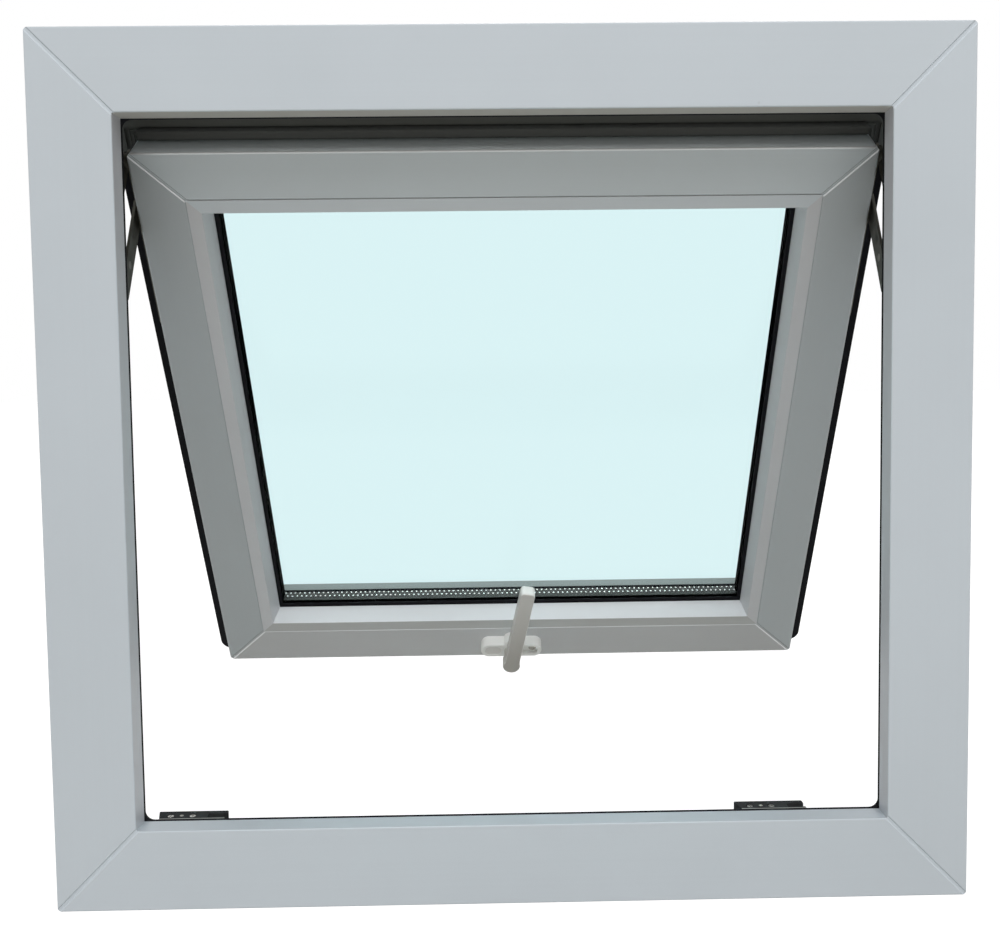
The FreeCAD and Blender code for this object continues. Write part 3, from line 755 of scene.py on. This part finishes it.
@dataclass
class Piece:
    """A plain mesh piece on a body, which a geometry tree grows from points."""

    name: str
    body: Body
    slot: Slot
    stands_for: tuple[str, ...] = ()
    places: list[Vector] = field(default_factory=list)
    facing: list[Vector] = field(default_factory=list)
    edges: list[tuple[int, int]] = field(default_factory=list)

    def add(self, place: Vector, facing: Vector) -> None:
        """Add one point, with the way that it faces."""
        self.places.append(place)
        self.facing.append(facing)

    def points(self) -> Mesh:
        """Make a mesh of the points.

        Returns:
            The mesh, with the attribute facing.
        """
        mesh = bpy.data.meshes.new(self.name)
        mesh.from_pydata([tuple(place) for place in self.places], self.edges, [])
        attribute = mesh.attributes.new("facing", "FLOAT_VECTOR", "POINT")
        attribute.data.foreach_set("vector", [part for way in self.facing for part in way])
        return mesh

    def grow(self, tree: NodeTree, sizes: Mapping[str, Any]) -> Object:
        """Run a tree on the points, keep the result as a plain mesh and let it ride on its body.

        Args:
            tree: The geometry node tree.
            sizes: Values of the tree's named inputs.

        Returns:
            The piece, with no modifier left.
        """
        piece = bpy.data.objects.new(self.name, self.points())
        bpy.context.scene.collection.objects.link(piece)
        modifier = piece.modifiers.new("grow", "NODES")
        modifier.node_group = tree
        for item in tree.interface.items_tree:
            if item.in_out == "INPUT" and item.name in sizes:
                modifier[item.identifier] = sizes[item.name]
        depsgraph = bpy.context.evaluated_depsgraph_get()
        plain = bpy.data.meshes.new_from_object(piece.evaluated_get(depsgraph), depsgraph=depsgraph)
        piece.modifiers.clear()
        piece.data = plain
        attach(piece, self.body.value)
        if self.stands_for:
            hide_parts(*self.stands_for)
        log.info("%s rides on %s: %d faces", self.name, self.body.value, len(plain.polygons))
        return piece


@dataclass(frozen=True)
class Head:
    """Size of a screw's or a rivet's head."""

    radius: float
    height: float

    def sizes(self, finish: Material) -> dict[str, Any]:
        """Inputs of the screw and rivet trees."""
        return {"Finish": finish, "Head Radius": self.radius, "Head Height": self.height}


def section(finish: Material, width: float, depth: float, corner: float) -> dict[str, Any]:
    """Inputs of the seal tree."""
    return {"Finish": finish, "Section Width": width, "Section Depth": depth, "Corner": corner}


@dataclass
class SealRing:
    """A seal drawn once round a box in the plane of the window, with rounded corners.

    The box is the closed window's, and carry brings the seal to where it is.
    """

    piece: Piece
    low: Vector
    high: Vector
    carry: Matrix
    width: float
    corner: float
    round_share: float = 0.46
    corner_steps: int = 10

    def path(self) -> list[Vector]:
        """Work out the middle line of the seal.

        Returns:
            Points once round, in the closed window.
        """
        inset = self.width / 2 + self.corner
        middle = (self.low.y + self.high.y) / 2
        left, right = self.low.x + inset, self.high.x - inset
        foot, head = self.low.z + inset, self.high.z - inset
        points = []
        for quarter, (x, z) in enumerate(((right, head), (left, head), (left, foot), (right, foot))):
            for step in range(self.corner_steps + 1):
                turn = (quarter + step / self.corner_steps) * math.pi / 2
                across, rise = self.corner * math.cos(turn), self.corner * math.sin(turn)
                points.append(Vector((x + across, middle, z + rise)))
        return points

    def draw(self, tree: NodeTree, finish: Material) -> None:
        """Draw the seal along its path.

        Args:
            tree: The tree that draws it.
            finish: Its material.
        """
        points = self.path()
        for index, point in enumerate(points):
            self.piece.add(self.carry @ point, self.carry.to_3x3() @ OUTWARD)
            self.piece.edges.append((index, (index + 1) % len(points)))
        depth = self.high.y - self.low.y
        self.piece.grow(tree, section(finish, self.width, depth, depth * self.round_share))


def paint(finish: Material, *nodes: str) -> None:
    """Give nodes a finish in place of their plain colour.

    Args:
        finish: The material.
        *nodes: Names of the nodes.
    """
    for name in nodes:
        for slot in frame["nodes"][name].material_slots:
            slot.material = finish
        log.info("%s is finished in %s", name, finish.name)


@dataclass
class Finishes:
    """Every material of the window, made once."""

    pose: HungPose
    # Lit and shaded copies of one white plastic: the top rail and top bead are painted lighter, the stiles,
    # bottom rail and bottom bead darker, as painted light and shade.
    white: Colour = linear(222, 230, 237)
    jamb_reveal_tone: Colour = linear(215, 215, 220)
    top_rail: Colour = linear(228, 236, 240)
    bottom_rail: Colour = linear(213, 214, 215)
    stile_left: Colour = linear(202, 208, 211)
    stile_right: Colour = linear(206, 212, 215)
    bead_top: Colour = linear(233, 240, 245)
    bead_bottom: Colour = linear(208, 209, 208)
    bead_upright: Colour = linear(229, 230, 233)
    # Painted light: the glazing beads' up-facing slopes.
    bead_slope_light: Colour = linear(250, 252, 255)
    # Painted shade: grey of the head brush, for the shaded rebate.
    brush_pile: Colour = linear(108, 110, 108)
    cap_colour: Colour = linear(240, 238, 234)
    steel: tuple[Colour, Colour] = (linear(114, 113, 105), linear(70, 69, 64))
    zinc: tuple[Colour, Colour] = (linear(64, 65, 66), linear(42, 42, 44))
    rivet_steel: tuple[Colour, Colour] = (linear(164, 162, 154), linear(96, 94, 88))
    screw_steel: tuple[Colour, Colour] = (linear(190, 190, 186), linear(120, 118, 112))
    rims: tuple[Colour, Colour] = (linear(244, 230, 227), linear(218, 204, 201))
    # Depth of the painted highlight line on the keepers.
    keeper_highlight_at: float = 0.0125
    # Above this height the flange seal is grey, a painted shade for the head's rebate.
    rebate_shade_height: float = 0.574
    # Share of painted shade on the lever.
    lever_shade: float = 0.85

    def __post_init__(self) -> None:
        """Make the materials."""
        self.make_plastics()
        self.make_metals()
        lean = self.pose.angle
        self.rubber = RubberFinish().material()
        self.rebate_shade_rubber = RubberFinish("dusty_seal", self.rebate_shade_height).material()
        self.brush = RubberFinish("brush_pile", 0.0, self.brush_pile).material()
        self.glass = GlassFinish().material()
        self.spacer = SpacerFinish(lean=lean).material()
        heel, tip = (self.pose.turned_back(corner).z for corner in self.pose.closed_box("handle_lever"))
        self.handle_base = PaintFinish("base_coat", lean).material()
        self.cap = PaintFinish("cap_coat", lean, colour=self.cap_colour).material()
        self.lever = PaintFinish("lever_coat", lean, self.lever_shade, heel, tip).material()

    def make_plastics(self) -> None:
        """Make the plastic of the frame and of each sash profile and bead."""
        lean = self.pose.angle
        front = self.pose.turned_back(self.pose.closed_box("sash_bottom_rail")[0]).y
        # Up-facing faces of the sill and head take a painted shade.
        self.sill = PlasticFinish("frame_profile_across", Run.ACROSS, self.white, painted_upper_share=0.6,
                                  reveal=0.8).material()
        self.jamb = PlasticFinish("frame_profile_upright", Run.UPRIGHT, self.white, reveal=0.9,
                                  reveal_tone=self.jamb_reveal_tone).material()
        profiles = {
            "sash_top_rail": ("top_rail_profile", Run.ACROSS, self.top_rail),
            "sash_bottom_rail": ("bottom_rail_profile", Run.ACROSS, self.bottom_rail),
            "sash_stile_left": ("sash_stile_left_profile", Run.UPRIGHT, self.stile_left),
            "sash_stile_right": ("sash_stile_right_profile", Run.UPRIGHT, self.stile_right),
        }
        self.sash = {node: PlasticFinish(*profile, lean, front).material()
                     for node, profile in profiles.items()}
        beads = {
            "bead_top": (Run.ACROSS, self.bead_top),
            "bead_bottom": (Run.ACROSS, self.bead_bottom),
            "bead_left": (Run.UPRIGHT, self.bead_upright),
            "bead_right": (Run.UPRIGHT, self.bead_upright),
        }
        # The beads' up-facing slopes take painted light.
        self.beads = {node: PlasticFinish("glazing_" + node, *bead, lean, painted_upper_share=1.0,
                                          dust=self.bead_slope_light).material()
                      for node, bead in beads.items()}

    def make_metals(self) -> None:
        """Make the steel of the stays and the lock, and of their small pieces."""
        self.stay = SteelFinish("stay_steel", *self.steel, roughness=0.42).material()
        self.lock = SteelFinish("plated_steel", *self.zinc, roughness=0.28).material()
        self.keeper = SteelFinish("keeper_steel", *self.zinc, roughness=0.5, highlight_at=self.keeper_highlight_at,
                                  metal=0.0).material()
        self.rivet = SteelFinish("rivet_steel", *self.rivet_steel).material()
        self.screw = SteelFinish("screw_steel", *self.screw_steel, roughness=0.24).material()
        self.punched = SteelFinish("punched_rims", *self.rims, roughness=0.2).material()


@dataclass
class Trees:
    """Every geometry tree, made once."""

    screws: NodeTree = field(default_factory=screw_tree)
    rivets: NodeTree = field(default_factory=rivet_tree)
    holes: NodeTree = field(default_factory=perforation_tree)
    seals: NodeTree = field(default_factory=seal_tree)


@dataclass
class FrameAssembly:
    """The welded frame with its seal, keepers and stay tracks."""

    finishes: Finishes
    trees: Trees
    seal_width: float = 0.009
    seal_corner: float = 0.0115
    keeper_screw_inset: float = 0.0115
    keeper_screw_spacing: float = 0.0175
    keeper_screw_sunk: float = 0.0014
    keeper_screw: Head = Head(radius=0.003, height=0.0012)
    keeper_pin: Head = Head(radius=0.0016, height=0.0006)
    track_screw: Head = Head(radius=0.0032, height=0.0009)
    track_screw_places: tuple[float, ...] = (0.012, 0.058, 0.142)
    track_floor: float = 0.002

    def build(self) -> None:
        """Make the seal, the screws and the pins."""
        seal = Piece("frame_seal", Body.FRAME, Slot.SEAL, ("frame_gasket",))
        low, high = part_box("frame_gasket")
        ring = SealRing(seal, low, high, Matrix.Identity(4), self.seal_width, self.seal_corner)
        ring.draw(self.trees.seals, self.finishes.rubber)
        self.keeper_heads()
        self.track_screws()

    def keeper_heads(self) -> None:
        """Make two screws in each keeper and a small pin between them."""
        screws = Piece("keeper_screws", Body.FRAME, Slot.LOCK)
        pins = Piece("keeper_pins", Body.FRAME, Slot.LOCK)
        spacing = self.keeper_screw_spacing
        for node in ("keeper_left", "keeper_right"):
            low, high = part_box(node)
            first = low.x + self.keeper_screw_inset
            middle = (low.y + high.y) / 2
            for x in (first, first + spacing):
                screws.add(Vector((x, middle, high.z - self.keeper_screw_sunk)), UPWARD)
            pins.add(Vector((first + spacing / 2, middle, high.z)), UPWARD)
        screws.grow(self.trees.screws, self.keeper_screw.sizes(self.finishes.screw))
        pins.grow(self.trees.rivets, self.keeper_pin.sizes(self.finishes.rivet))

    def track_screws(self) -> None:
        """Make three screws in the floor of each stay track."""
        screws = Piece("track_screws", Body.FRAME, Slot.STAY)
        for side, node in ((Side.LEFT, "stay_track_left"), (Side.RIGHT, "stay_track_right")):
            low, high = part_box(node)
            jamb = high.x if side is Side.RIGHT else low.x
            floor = jamb - side.value * self.track_floor
            for rise in self.track_screw_places:
                place = Vector((floor, (low.y + high.y) / 2, low.z + rise))
                screws.add(place, LEFTWARD if side is Side.RIGHT else RIGHTWARD)
        screws.grow(self.trees.screws, self.track_screw.sizes(self.finishes.screw))

    def dress(self) -> None:
        """Give the frame's own nodes their finishes."""
        paint(self.finishes.sill, "frame_sill", "frame_head")
        paint(self.finishes.jamb, "frame_jamb_left", "frame_jamb_right")
        paint(self.finishes.keeper, "keeper_left", "keeper_right")
        paint(self.finishes.stay, "stay_track_left", "stay_track_right")


@dataclass
class SashAssembly:
    """The tilted sash with its beads, double glazing, seals and lock."""

    finishes: Finishes
    trees: Trees
    pose: HungPose
    rib_width: float = 0.0014
    rib_insets: tuple[float, ...] = (0.0112, 0.0142)
    web_thickness: float = 0.002
    inner_seal_width: float = 0.0143
    outer_seal_width: float = 0.0125
    glazing_seal_corner: float = 0.0076
    hole_pitch: float = 0.0048
    hole_radius: float = 0.00085
    hole_depth: float = 0.0001
    hole_row_gap: float = 0.0048
    hole_row_shift: float = 0.0027
    spacer_height: float = 0.007
    plate_screw_count: int = 5
    plate_screw: Head = Head(radius=0.003, height=0.0006)
    flange_reach: float = 0.0175
    brush_half: float = 0.289
    brush_height: float = 0.007
    brush_depth: float = 0.013

    def build(self) -> None:
        """Make the seals, the spacer's perforations and the lock's screws."""
        for place, width in (("inner", self.inner_seal_width), ("outer", self.outer_seal_width)):
            node = f"glazing_gasket_{place}"
            seal = Piece(f"glazing_seal_{place}", Body.SASH, Slot.SEAL, (node,))
            low, high = self.pose.closed_box(node)
            ring = SealRing(seal, low, high, self.pose.matrix(), width, self.glazing_seal_corner)
            ring.draw(self.trees.seals, self.finishes.rubber)
        self.seal_ribs()
        self.head_brush()
        self.perforations()
        self.plate_screws()

    def seal_ribs(self) -> None:
        """Draw the low ribs on the web of the flange seal."""
        low, high = self.pose.closed_box("sash_gasket")
        web = high.y - self.web_thickness
        for number, inset in enumerate(self.rib_insets):
            margin = Vector((inset, 0.0, inset))
            near = Vector((low.x, web - self.rib_width / 2, low.z)) + margin
            far = Vector((high.x, web + self.rib_width / 2, high.z)) - margin
            rib = Piece(f"flange_seal_rib_{number}", Body.SASH, Slot.SEAL)
            ring = SealRing(rib, near, far, self.pose.matrix(), self.rib_width, self.rib_width)
            ring.draw(self.trees.seals, self.finishes.rebate_shade_rubber)

    def head_brush(self) -> None:
        """Draw the brush seal along the top rail, in the corner of its flange; its grey is a painted shade
        for the head's shaded rebate.
        """
        y = self.pose.closed_box("sash_gasket")[1].y - self.brush_depth / 2
        z = self.pose.closed_box("sash_top_rail")[1].z - self.flange_reach + self.brush_height / 2
        brush = Piece("head_brush", Body.SASH, Slot.SEAL, edges=[(0, 1)])
        for x in (-self.brush_half, self.brush_half):
            brush.add(self.pose.placed(x, y, z), self.pose.turned(OUTWARD))
        brush.grow(self.trees.seals,
                   section(self.finishes.brush, self.brush_height, self.brush_depth, self.rib_width))

    def perforations(self) -> None:
        """Make two rows of holes along the inner faces of the spacer's bottom and top runs."""
        low, high = self.pose.closed_box("glass_spacer")
        foot, head = low.z + self.spacer_height, high.z - self.spacer_height
        holes = Piece("spacer_holes", Body.SASH, Slot.SPACER)
        for level, way in ((foot, UPWARD), (head, DOWNWARD)):
            for row in (-0.5, 0.5):
                y = (low.y + high.y) / 2 + self.hole_row_shift + row * self.hole_row_gap
                shift = row * self.hole_pitch / 2
                start = len(holes.places)
                holes.edges.append((start, start + 1))
                for x in (low.x + self.spacer_height, high.x - self.spacer_height):
                    holes.add(self.pose.placed(x + shift, y, level), self.pose.turned(way))
        holes.grow(self.trees.holes, {"Finish": self.finishes.punched, "Pitch": self.hole_pitch,
                                      "Hole Radius": self.hole_radius, "Hole Depth": self.hole_depth})

    def plate_screws(self) -> None:
        """Make the screws along the lock's faceplate."""
        low, high = self.pose.closed_box("lock_faceplate")
        screws = Piece("faceplate_screws", Body.SASH, Slot.LOCK)
        step = (high.x - low.x) / self.plate_screw_count
        for number in range(self.plate_screw_count):
            x = low.x + (number + 0.5) * step
            screws.add(self.pose.placed(x, (low.y + high.y) / 2, low.z), self.pose.turned(DOWNWARD))
        screws.grow(self.trees.screws, self.plate_screw.sizes(self.finishes.screw))

    def dress(self) -> None:
        """Give the sash's own nodes their finishes."""
        for node, finish in (self.finishes.sash | self.finishes.beads).items():
            paint(finish, node)
        paint(self.finishes.glass, "pane_inner", "pane_outer")
        paint(self.finishes.spacer, "glass_spacer")
        paint(self.finishes.rebate_shade_rubber, "sash_gasket")
        paint(self.finishes.lock, "lock_faceplate", "lock_cam_left", "lock_cam_right")


@dataclass
class StayAssembly:
    """One friction stay: its arm, link, shoe and sash bar, with their rivets."""

    finishes: Finishes
    trees: Trees
    side: Side
    rivet: Head = Head(radius=0.0032, height=0.00017)
    stop_share: float = 0.31

    def name(self, piece: str) -> str:
        """A piece's name on this side."""
        return f"{piece}_{self.side.name.lower()}"

    def build(self) -> None:
        """Make the rivets on the faces of the arm and the link."""
        joints = {joint["name"]: Vector(joint["pos_m"]) for joint in frame["joints"]}
        arm_foot = joints[self.name("stay_arm") + "_swing"]
        sash_pivot = joints["sash_swing"]
        link_head = joints[self.name("stay_link") + "_swing"]
        link_foot = joints[self.name("stay_shoe") + "_turn"]
        stop = arm_foot.lerp(sash_pivot, self.stop_share)
        self.rivets("arm_rivets", "stay_arm", [(arm_foot, -1), (sash_pivot, 1), (stop, -1)])
        self.rivets("link_rivets", "stay_link", [(link_head, 1), (link_foot, -1)])

    def rivets(self, name: str, strip: str, pivots: Sequence[tuple[Vector, int]]) -> None:
        """Make rivet heads on one strip.

        Args:
            name: Name of the rivets.
            strip: The strip that they are on, which is a body of its own.
            pivots: Each pivot, with 1 for a head on the jamb's side and -1 for the sash's side.
        """
        low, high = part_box(self.name(strip))
        rivets = Piece(self.name(name), Body(self.name(strip)), Slot.STAY)
        for pivot, way in pivots:
            rightward = way * self.side.value > 0
            face = high.x if rightward else low.x
            rivets.add(Vector((face, pivot.y, pivot.z)), RIGHTWARD if rightward else LEFTWARD)
        rivets.grow(self.trees.rivets, self.rivet.sizes(self.finishes.rivet))

    def dress(self) -> None:
        """Give the stay's own nodes their finish."""
        pieces = ("stay_arm", "stay_link", "stay_shoe", "stay_sash_bar")
        paint(self.finishes.stay, *(self.name(piece) for piece in pieces))


@dataclass
class HandleAssembly:
    """The handle plate with its screw and cap, and the lever."""

    finishes: Finishes
    trees: Trees
    pose: HungPose
    screw_spacing: float = 0.043
    screw: Head = Head(radius=0.0038, height=0.0016)
    plate_half_width: float = 0.0083
    pocket_depth: float = 0.0045
    pocket_width: float = 0.011
    pocket_start: float = 0.0155
    cap_gap: float = 0.0004
    cap_sunk: float = 0.0006
    cap_round_share: float = 0.49

    def build(self) -> None:
        """Make the screw in the right pocket of the plate and the cap in the left one."""
        low = self.pose.closed_box("handle_base")[0]
        middle = low.z + self.plate_half_width
        screw = Piece("handle_screw", Body.SASH, Slot.HANDLE)
        place = self.pose.placed(self.screw_spacing / 2, low.y + self.pocket_depth, middle)
        screw.add(place, self.pose.turned(ROOMWARD))
        screw.grow(self.trees.screws, self.screw.sizes(self.finishes.rivet))
        self.cap(low.y, middle)

    def cap(self, face: float, middle: float) -> None:
        """Fill the left pocket with its cap, a little below the face of the plate.

        Args:
            face: Where the plate's face is along Y in the closed window.
            middle: The height of the plate's middle there.
        """
        x = -(self.screw_spacing / 2 + self.pocket_start) / 2
        cap = Piece("screw_cap", Body.SASH, Slot.HANDLE, edges=[(0, 1)])
        for depth in (self.pocket_depth, self.cap_sunk):
            cap.add(self.pose.placed(x, face + depth, middle), self.pose.turned(UPWARD))
        height = self.pocket_width - 2 * self.cap_gap
        length = self.screw_spacing / 2 - self.pocket_start + height
        corner = height * self.cap_round_share
        cap.grow(self.trees.seals, section(self.finishes.cap, length, height, corner))

    def dress(self) -> None:
        """Give the handle's own nodes their finish."""
        paint(self.finishes.handle_base, "handle_base")
        paint(self.finishes.lever, "handle_lever")


@dataclass
class PhotoCamera:
    """The camera at the photograph's view."""

    place: tuple[float, float, float] = (-0.00081, -0.91172, 0.40121)
    pitch: float = 3.842
    yaw: float = -0.932
    roll: float = 0.684
    focal_pixels: float = 1177.3
    centre_x: float = 527.1
    centre_y: float = 460.1
    sensor: float = 36.0
    nearest: float = 0.01

    def build(self) -> Object:
        """Make the camera.

        Returns:
            The camera object, which is the scene's own.
        """
        pitch, yaw, roll = (math.radians(angle) for angle in (self.pitch, self.yaw, self.roll))
        turn = Matrix.Rotation(yaw, 3, "Z") @ Matrix.Rotation(-pitch, 3, "X")
        right, down, ahead = (turn @ way for way in (RIGHTWARD, DOWNWARD, OUTWARD))
        rolled_right = right * math.cos(roll) + down * math.sin(roll)
        rolled_down = down * math.cos(roll) - right * math.sin(roll)
        basis = Matrix((rolled_right, -rolled_down, -ahead)).transposed()
        data = bpy.data.cameras.new("photo_camera")
        data.sensor_fit = "HORIZONTAL"
        data.sensor_width = self.sensor
        data.lens = self.focal_pixels / PHOTO_WIDTH * self.sensor
        data.shift_x = (PHOTO_WIDTH / 2 - self.centre_x) / PHOTO_WIDTH
        data.shift_y = (self.centre_y - PHOTO_HEIGHT / 2) / PHOTO_WIDTH
        data.clip_start = self.nearest
        camera = bpy.data.objects.new("photo_camera", data)
        camera.matrix_world = Matrix.Translation(self.place) @ basis.to_4x4()
        bpy.context.scene.collection.objects.link(camera)
        bpy.context.scene.camera = camera
        return camera


@dataclass(frozen=True)
class SoftBox:
    """A square studio lamp that looks at the window."""

    name: str
    place: tuple[float, float, float]
    size: float
    watts: float
    target: tuple[float, float, float] = (0.0, 0.05, 0.33)

    def build(self) -> Object:
        """Make the lamp.

        Returns:
            The lamp object.
        """
        data = bpy.data.lights.new(self.name, "AREA")
        data.size = self.size
        data.energy = self.watts
        lamp = bpy.data.objects.new(self.name, data)
        lamp.location = self.place
        lamp.rotation_euler = (Vector(self.target) - Vector(self.place)).to_track_quat("-Z", "Y").to_euler()
        bpy.context.scene.collection.objects.link(lamp)
        return lamp


@dataclass
class Studio:
    """Pale floor, white surroundings and soft lamps."""

    floor_half: float = 30.0
    floor_colour: Colour = linear(193, 192, 187)
    floor_shown: Colour = linear(150, 150, 150)
    floor_glow: Colour = (0.90, 0.90, 0.90, 1.0)
    glow_band: Band = (1.0, 6.0)
    ambient: Colour = (0.99, 0.985, 0.975, 1.0)
    ambient_strength: float = 0.196
    lamps: tuple[SoftBox, ...] = (
        SoftBox("key_softbox", (0.2, -4.0, 5.6), 4.2, 289.0),
        SoftBox("sky_softbox", (0.0, 3.0, 4.4), 2.5, 84.0),
    )

    def build(self) -> None:
        """Make the floor, the world and the lamps."""
        self.floor()
        self.world()
        for lamp in self.lamps:
            lamp.build()
        bpy.context.scene.view_settings.view_transform = "Standard"

    @staticmethod
    def seen(sheet: NodeSheet) -> tuple[Value, Value]:
        """Tell rays that show the surroundings from rays that only light the object.

        Args:
            sheet: The node tree.

        Returns:
            One for camera rays, and one for glossy and transmission rays, else zero.
        """
        path = sheet.node("ShaderNodeLightPath")
        camera, glossy, through = (Value(sheet, path.outputs[name]) for name in
                                   ("Is Camera Ray", "Is Glossy Ray", "Is Transmission Ray"))
        return camera, glossy.highest(through)

    def floor(self) -> None:
        """Make the floor, which shows white apart from the object's shadow."""
        half = self.floor_half
        mesh = bpy.data.meshes.new("floor")
        corners = [(-half, -half, 0.0), (half, -half, 0.0), (half, half, 0.0), (-half, half, 0.0)]
        mesh.from_pydata(corners, [], [(0, 1, 2, 3)])
        mesh.materials.append(self.floor_material())
        floor = bpy.data.objects.new("floor", mesh)
        bpy.context.scene.collection.objects.link(floor)

    def floor_material(self) -> Material:
        """Make the floor's material: matt for light, pale where it is seen, white in glass and metal.

        Returns:
            The material.
        """
        material = bpy.data.materials.new("pale_floor")
        material.use_nodes = True
        sheet = NodeSheet(material.node_tree)
        matt = sheet.out("ShaderNodeBsdfDiffuse", {"Color": self.floor_colour})
        shown = sheet.out("ShaderNodeBsdfDiffuse", {"Color": self.floor_shown})
        place = sheet.out("ShaderNodeTexCoord", output="Object")
        distance = sheet.out("ShaderNodeVectorMath", {0: place}, "Value", operation="LENGTH")
        shade = sheet.mix(distance.ramp(*self.glow_band), self.floor_glow, WHITE)
        glow = sheet.out("ShaderNodeEmission", {"Color": shade, "Strength": 1.0})
        lit = sheet.out("ShaderNodeAddShader", {0: shown, 1: glow})
        white = sheet.out("ShaderNodeEmission", {"Color": WHITE, "Strength": 1.0})
        directly, by_glass = self.seen(sheet)
        surface = sheet.out("ShaderNodeMixShader", {0: directly, 1: matt, 2: lit})
        surface = sheet.out("ShaderNodeMixShader", {0: by_glass, 1: surface, 2: white})
        sheet.node("ShaderNodeOutputMaterial", {"Surface": surface})
        return material

    def world(self) -> None:
        """Make the surroundings: white where they are seen, a soft light elsewhere."""
        world = bpy.data.worlds.new("studio")
        world.use_nodes = True
        bpy.context.scene.world = world
        sheet = NodeSheet(world.node_tree)
        soft = sheet.out("ShaderNodeBackground", {"Color": self.ambient, "Strength": self.ambient_strength})
        white = sheet.out("ShaderNodeBackground", {"Color": WHITE, "Strength": 1.0})
        directly, by_glass = self.seen(sheet)
        mixed = sheet.out("ShaderNodeMixShader", {0: directly.highest(by_glass), 1: soft, 2: white})
        sheet.node("ShaderNodeOutputWorld", {"Surface": mixed})


def main() -> None:
    """Build and dress every sub-assembly in order, then the camera and the stage."""
    logging.basicConfig(level=logging.INFO, format="%(name)s: %(message)s")
    pose = HungPose.from_joints(frame["joints"])
    finishes = Finishes(pose)
    trees = Trees()
    assemblies = [
        FrameAssembly(finishes, trees),
        SashAssembly(finishes, trees, pose),
        StayAssembly(finishes, trees, Side.LEFT),
        StayAssembly(finishes, trees, Side.RIGHT),
        HandleAssembly(finishes, trees, pose),
    ]
    for assembly in assemblies:
        assembly.build()
        assembly.dress()
    PhotoCamera().build()
    Studio().build()


if __name__ == "__main__":
    main()
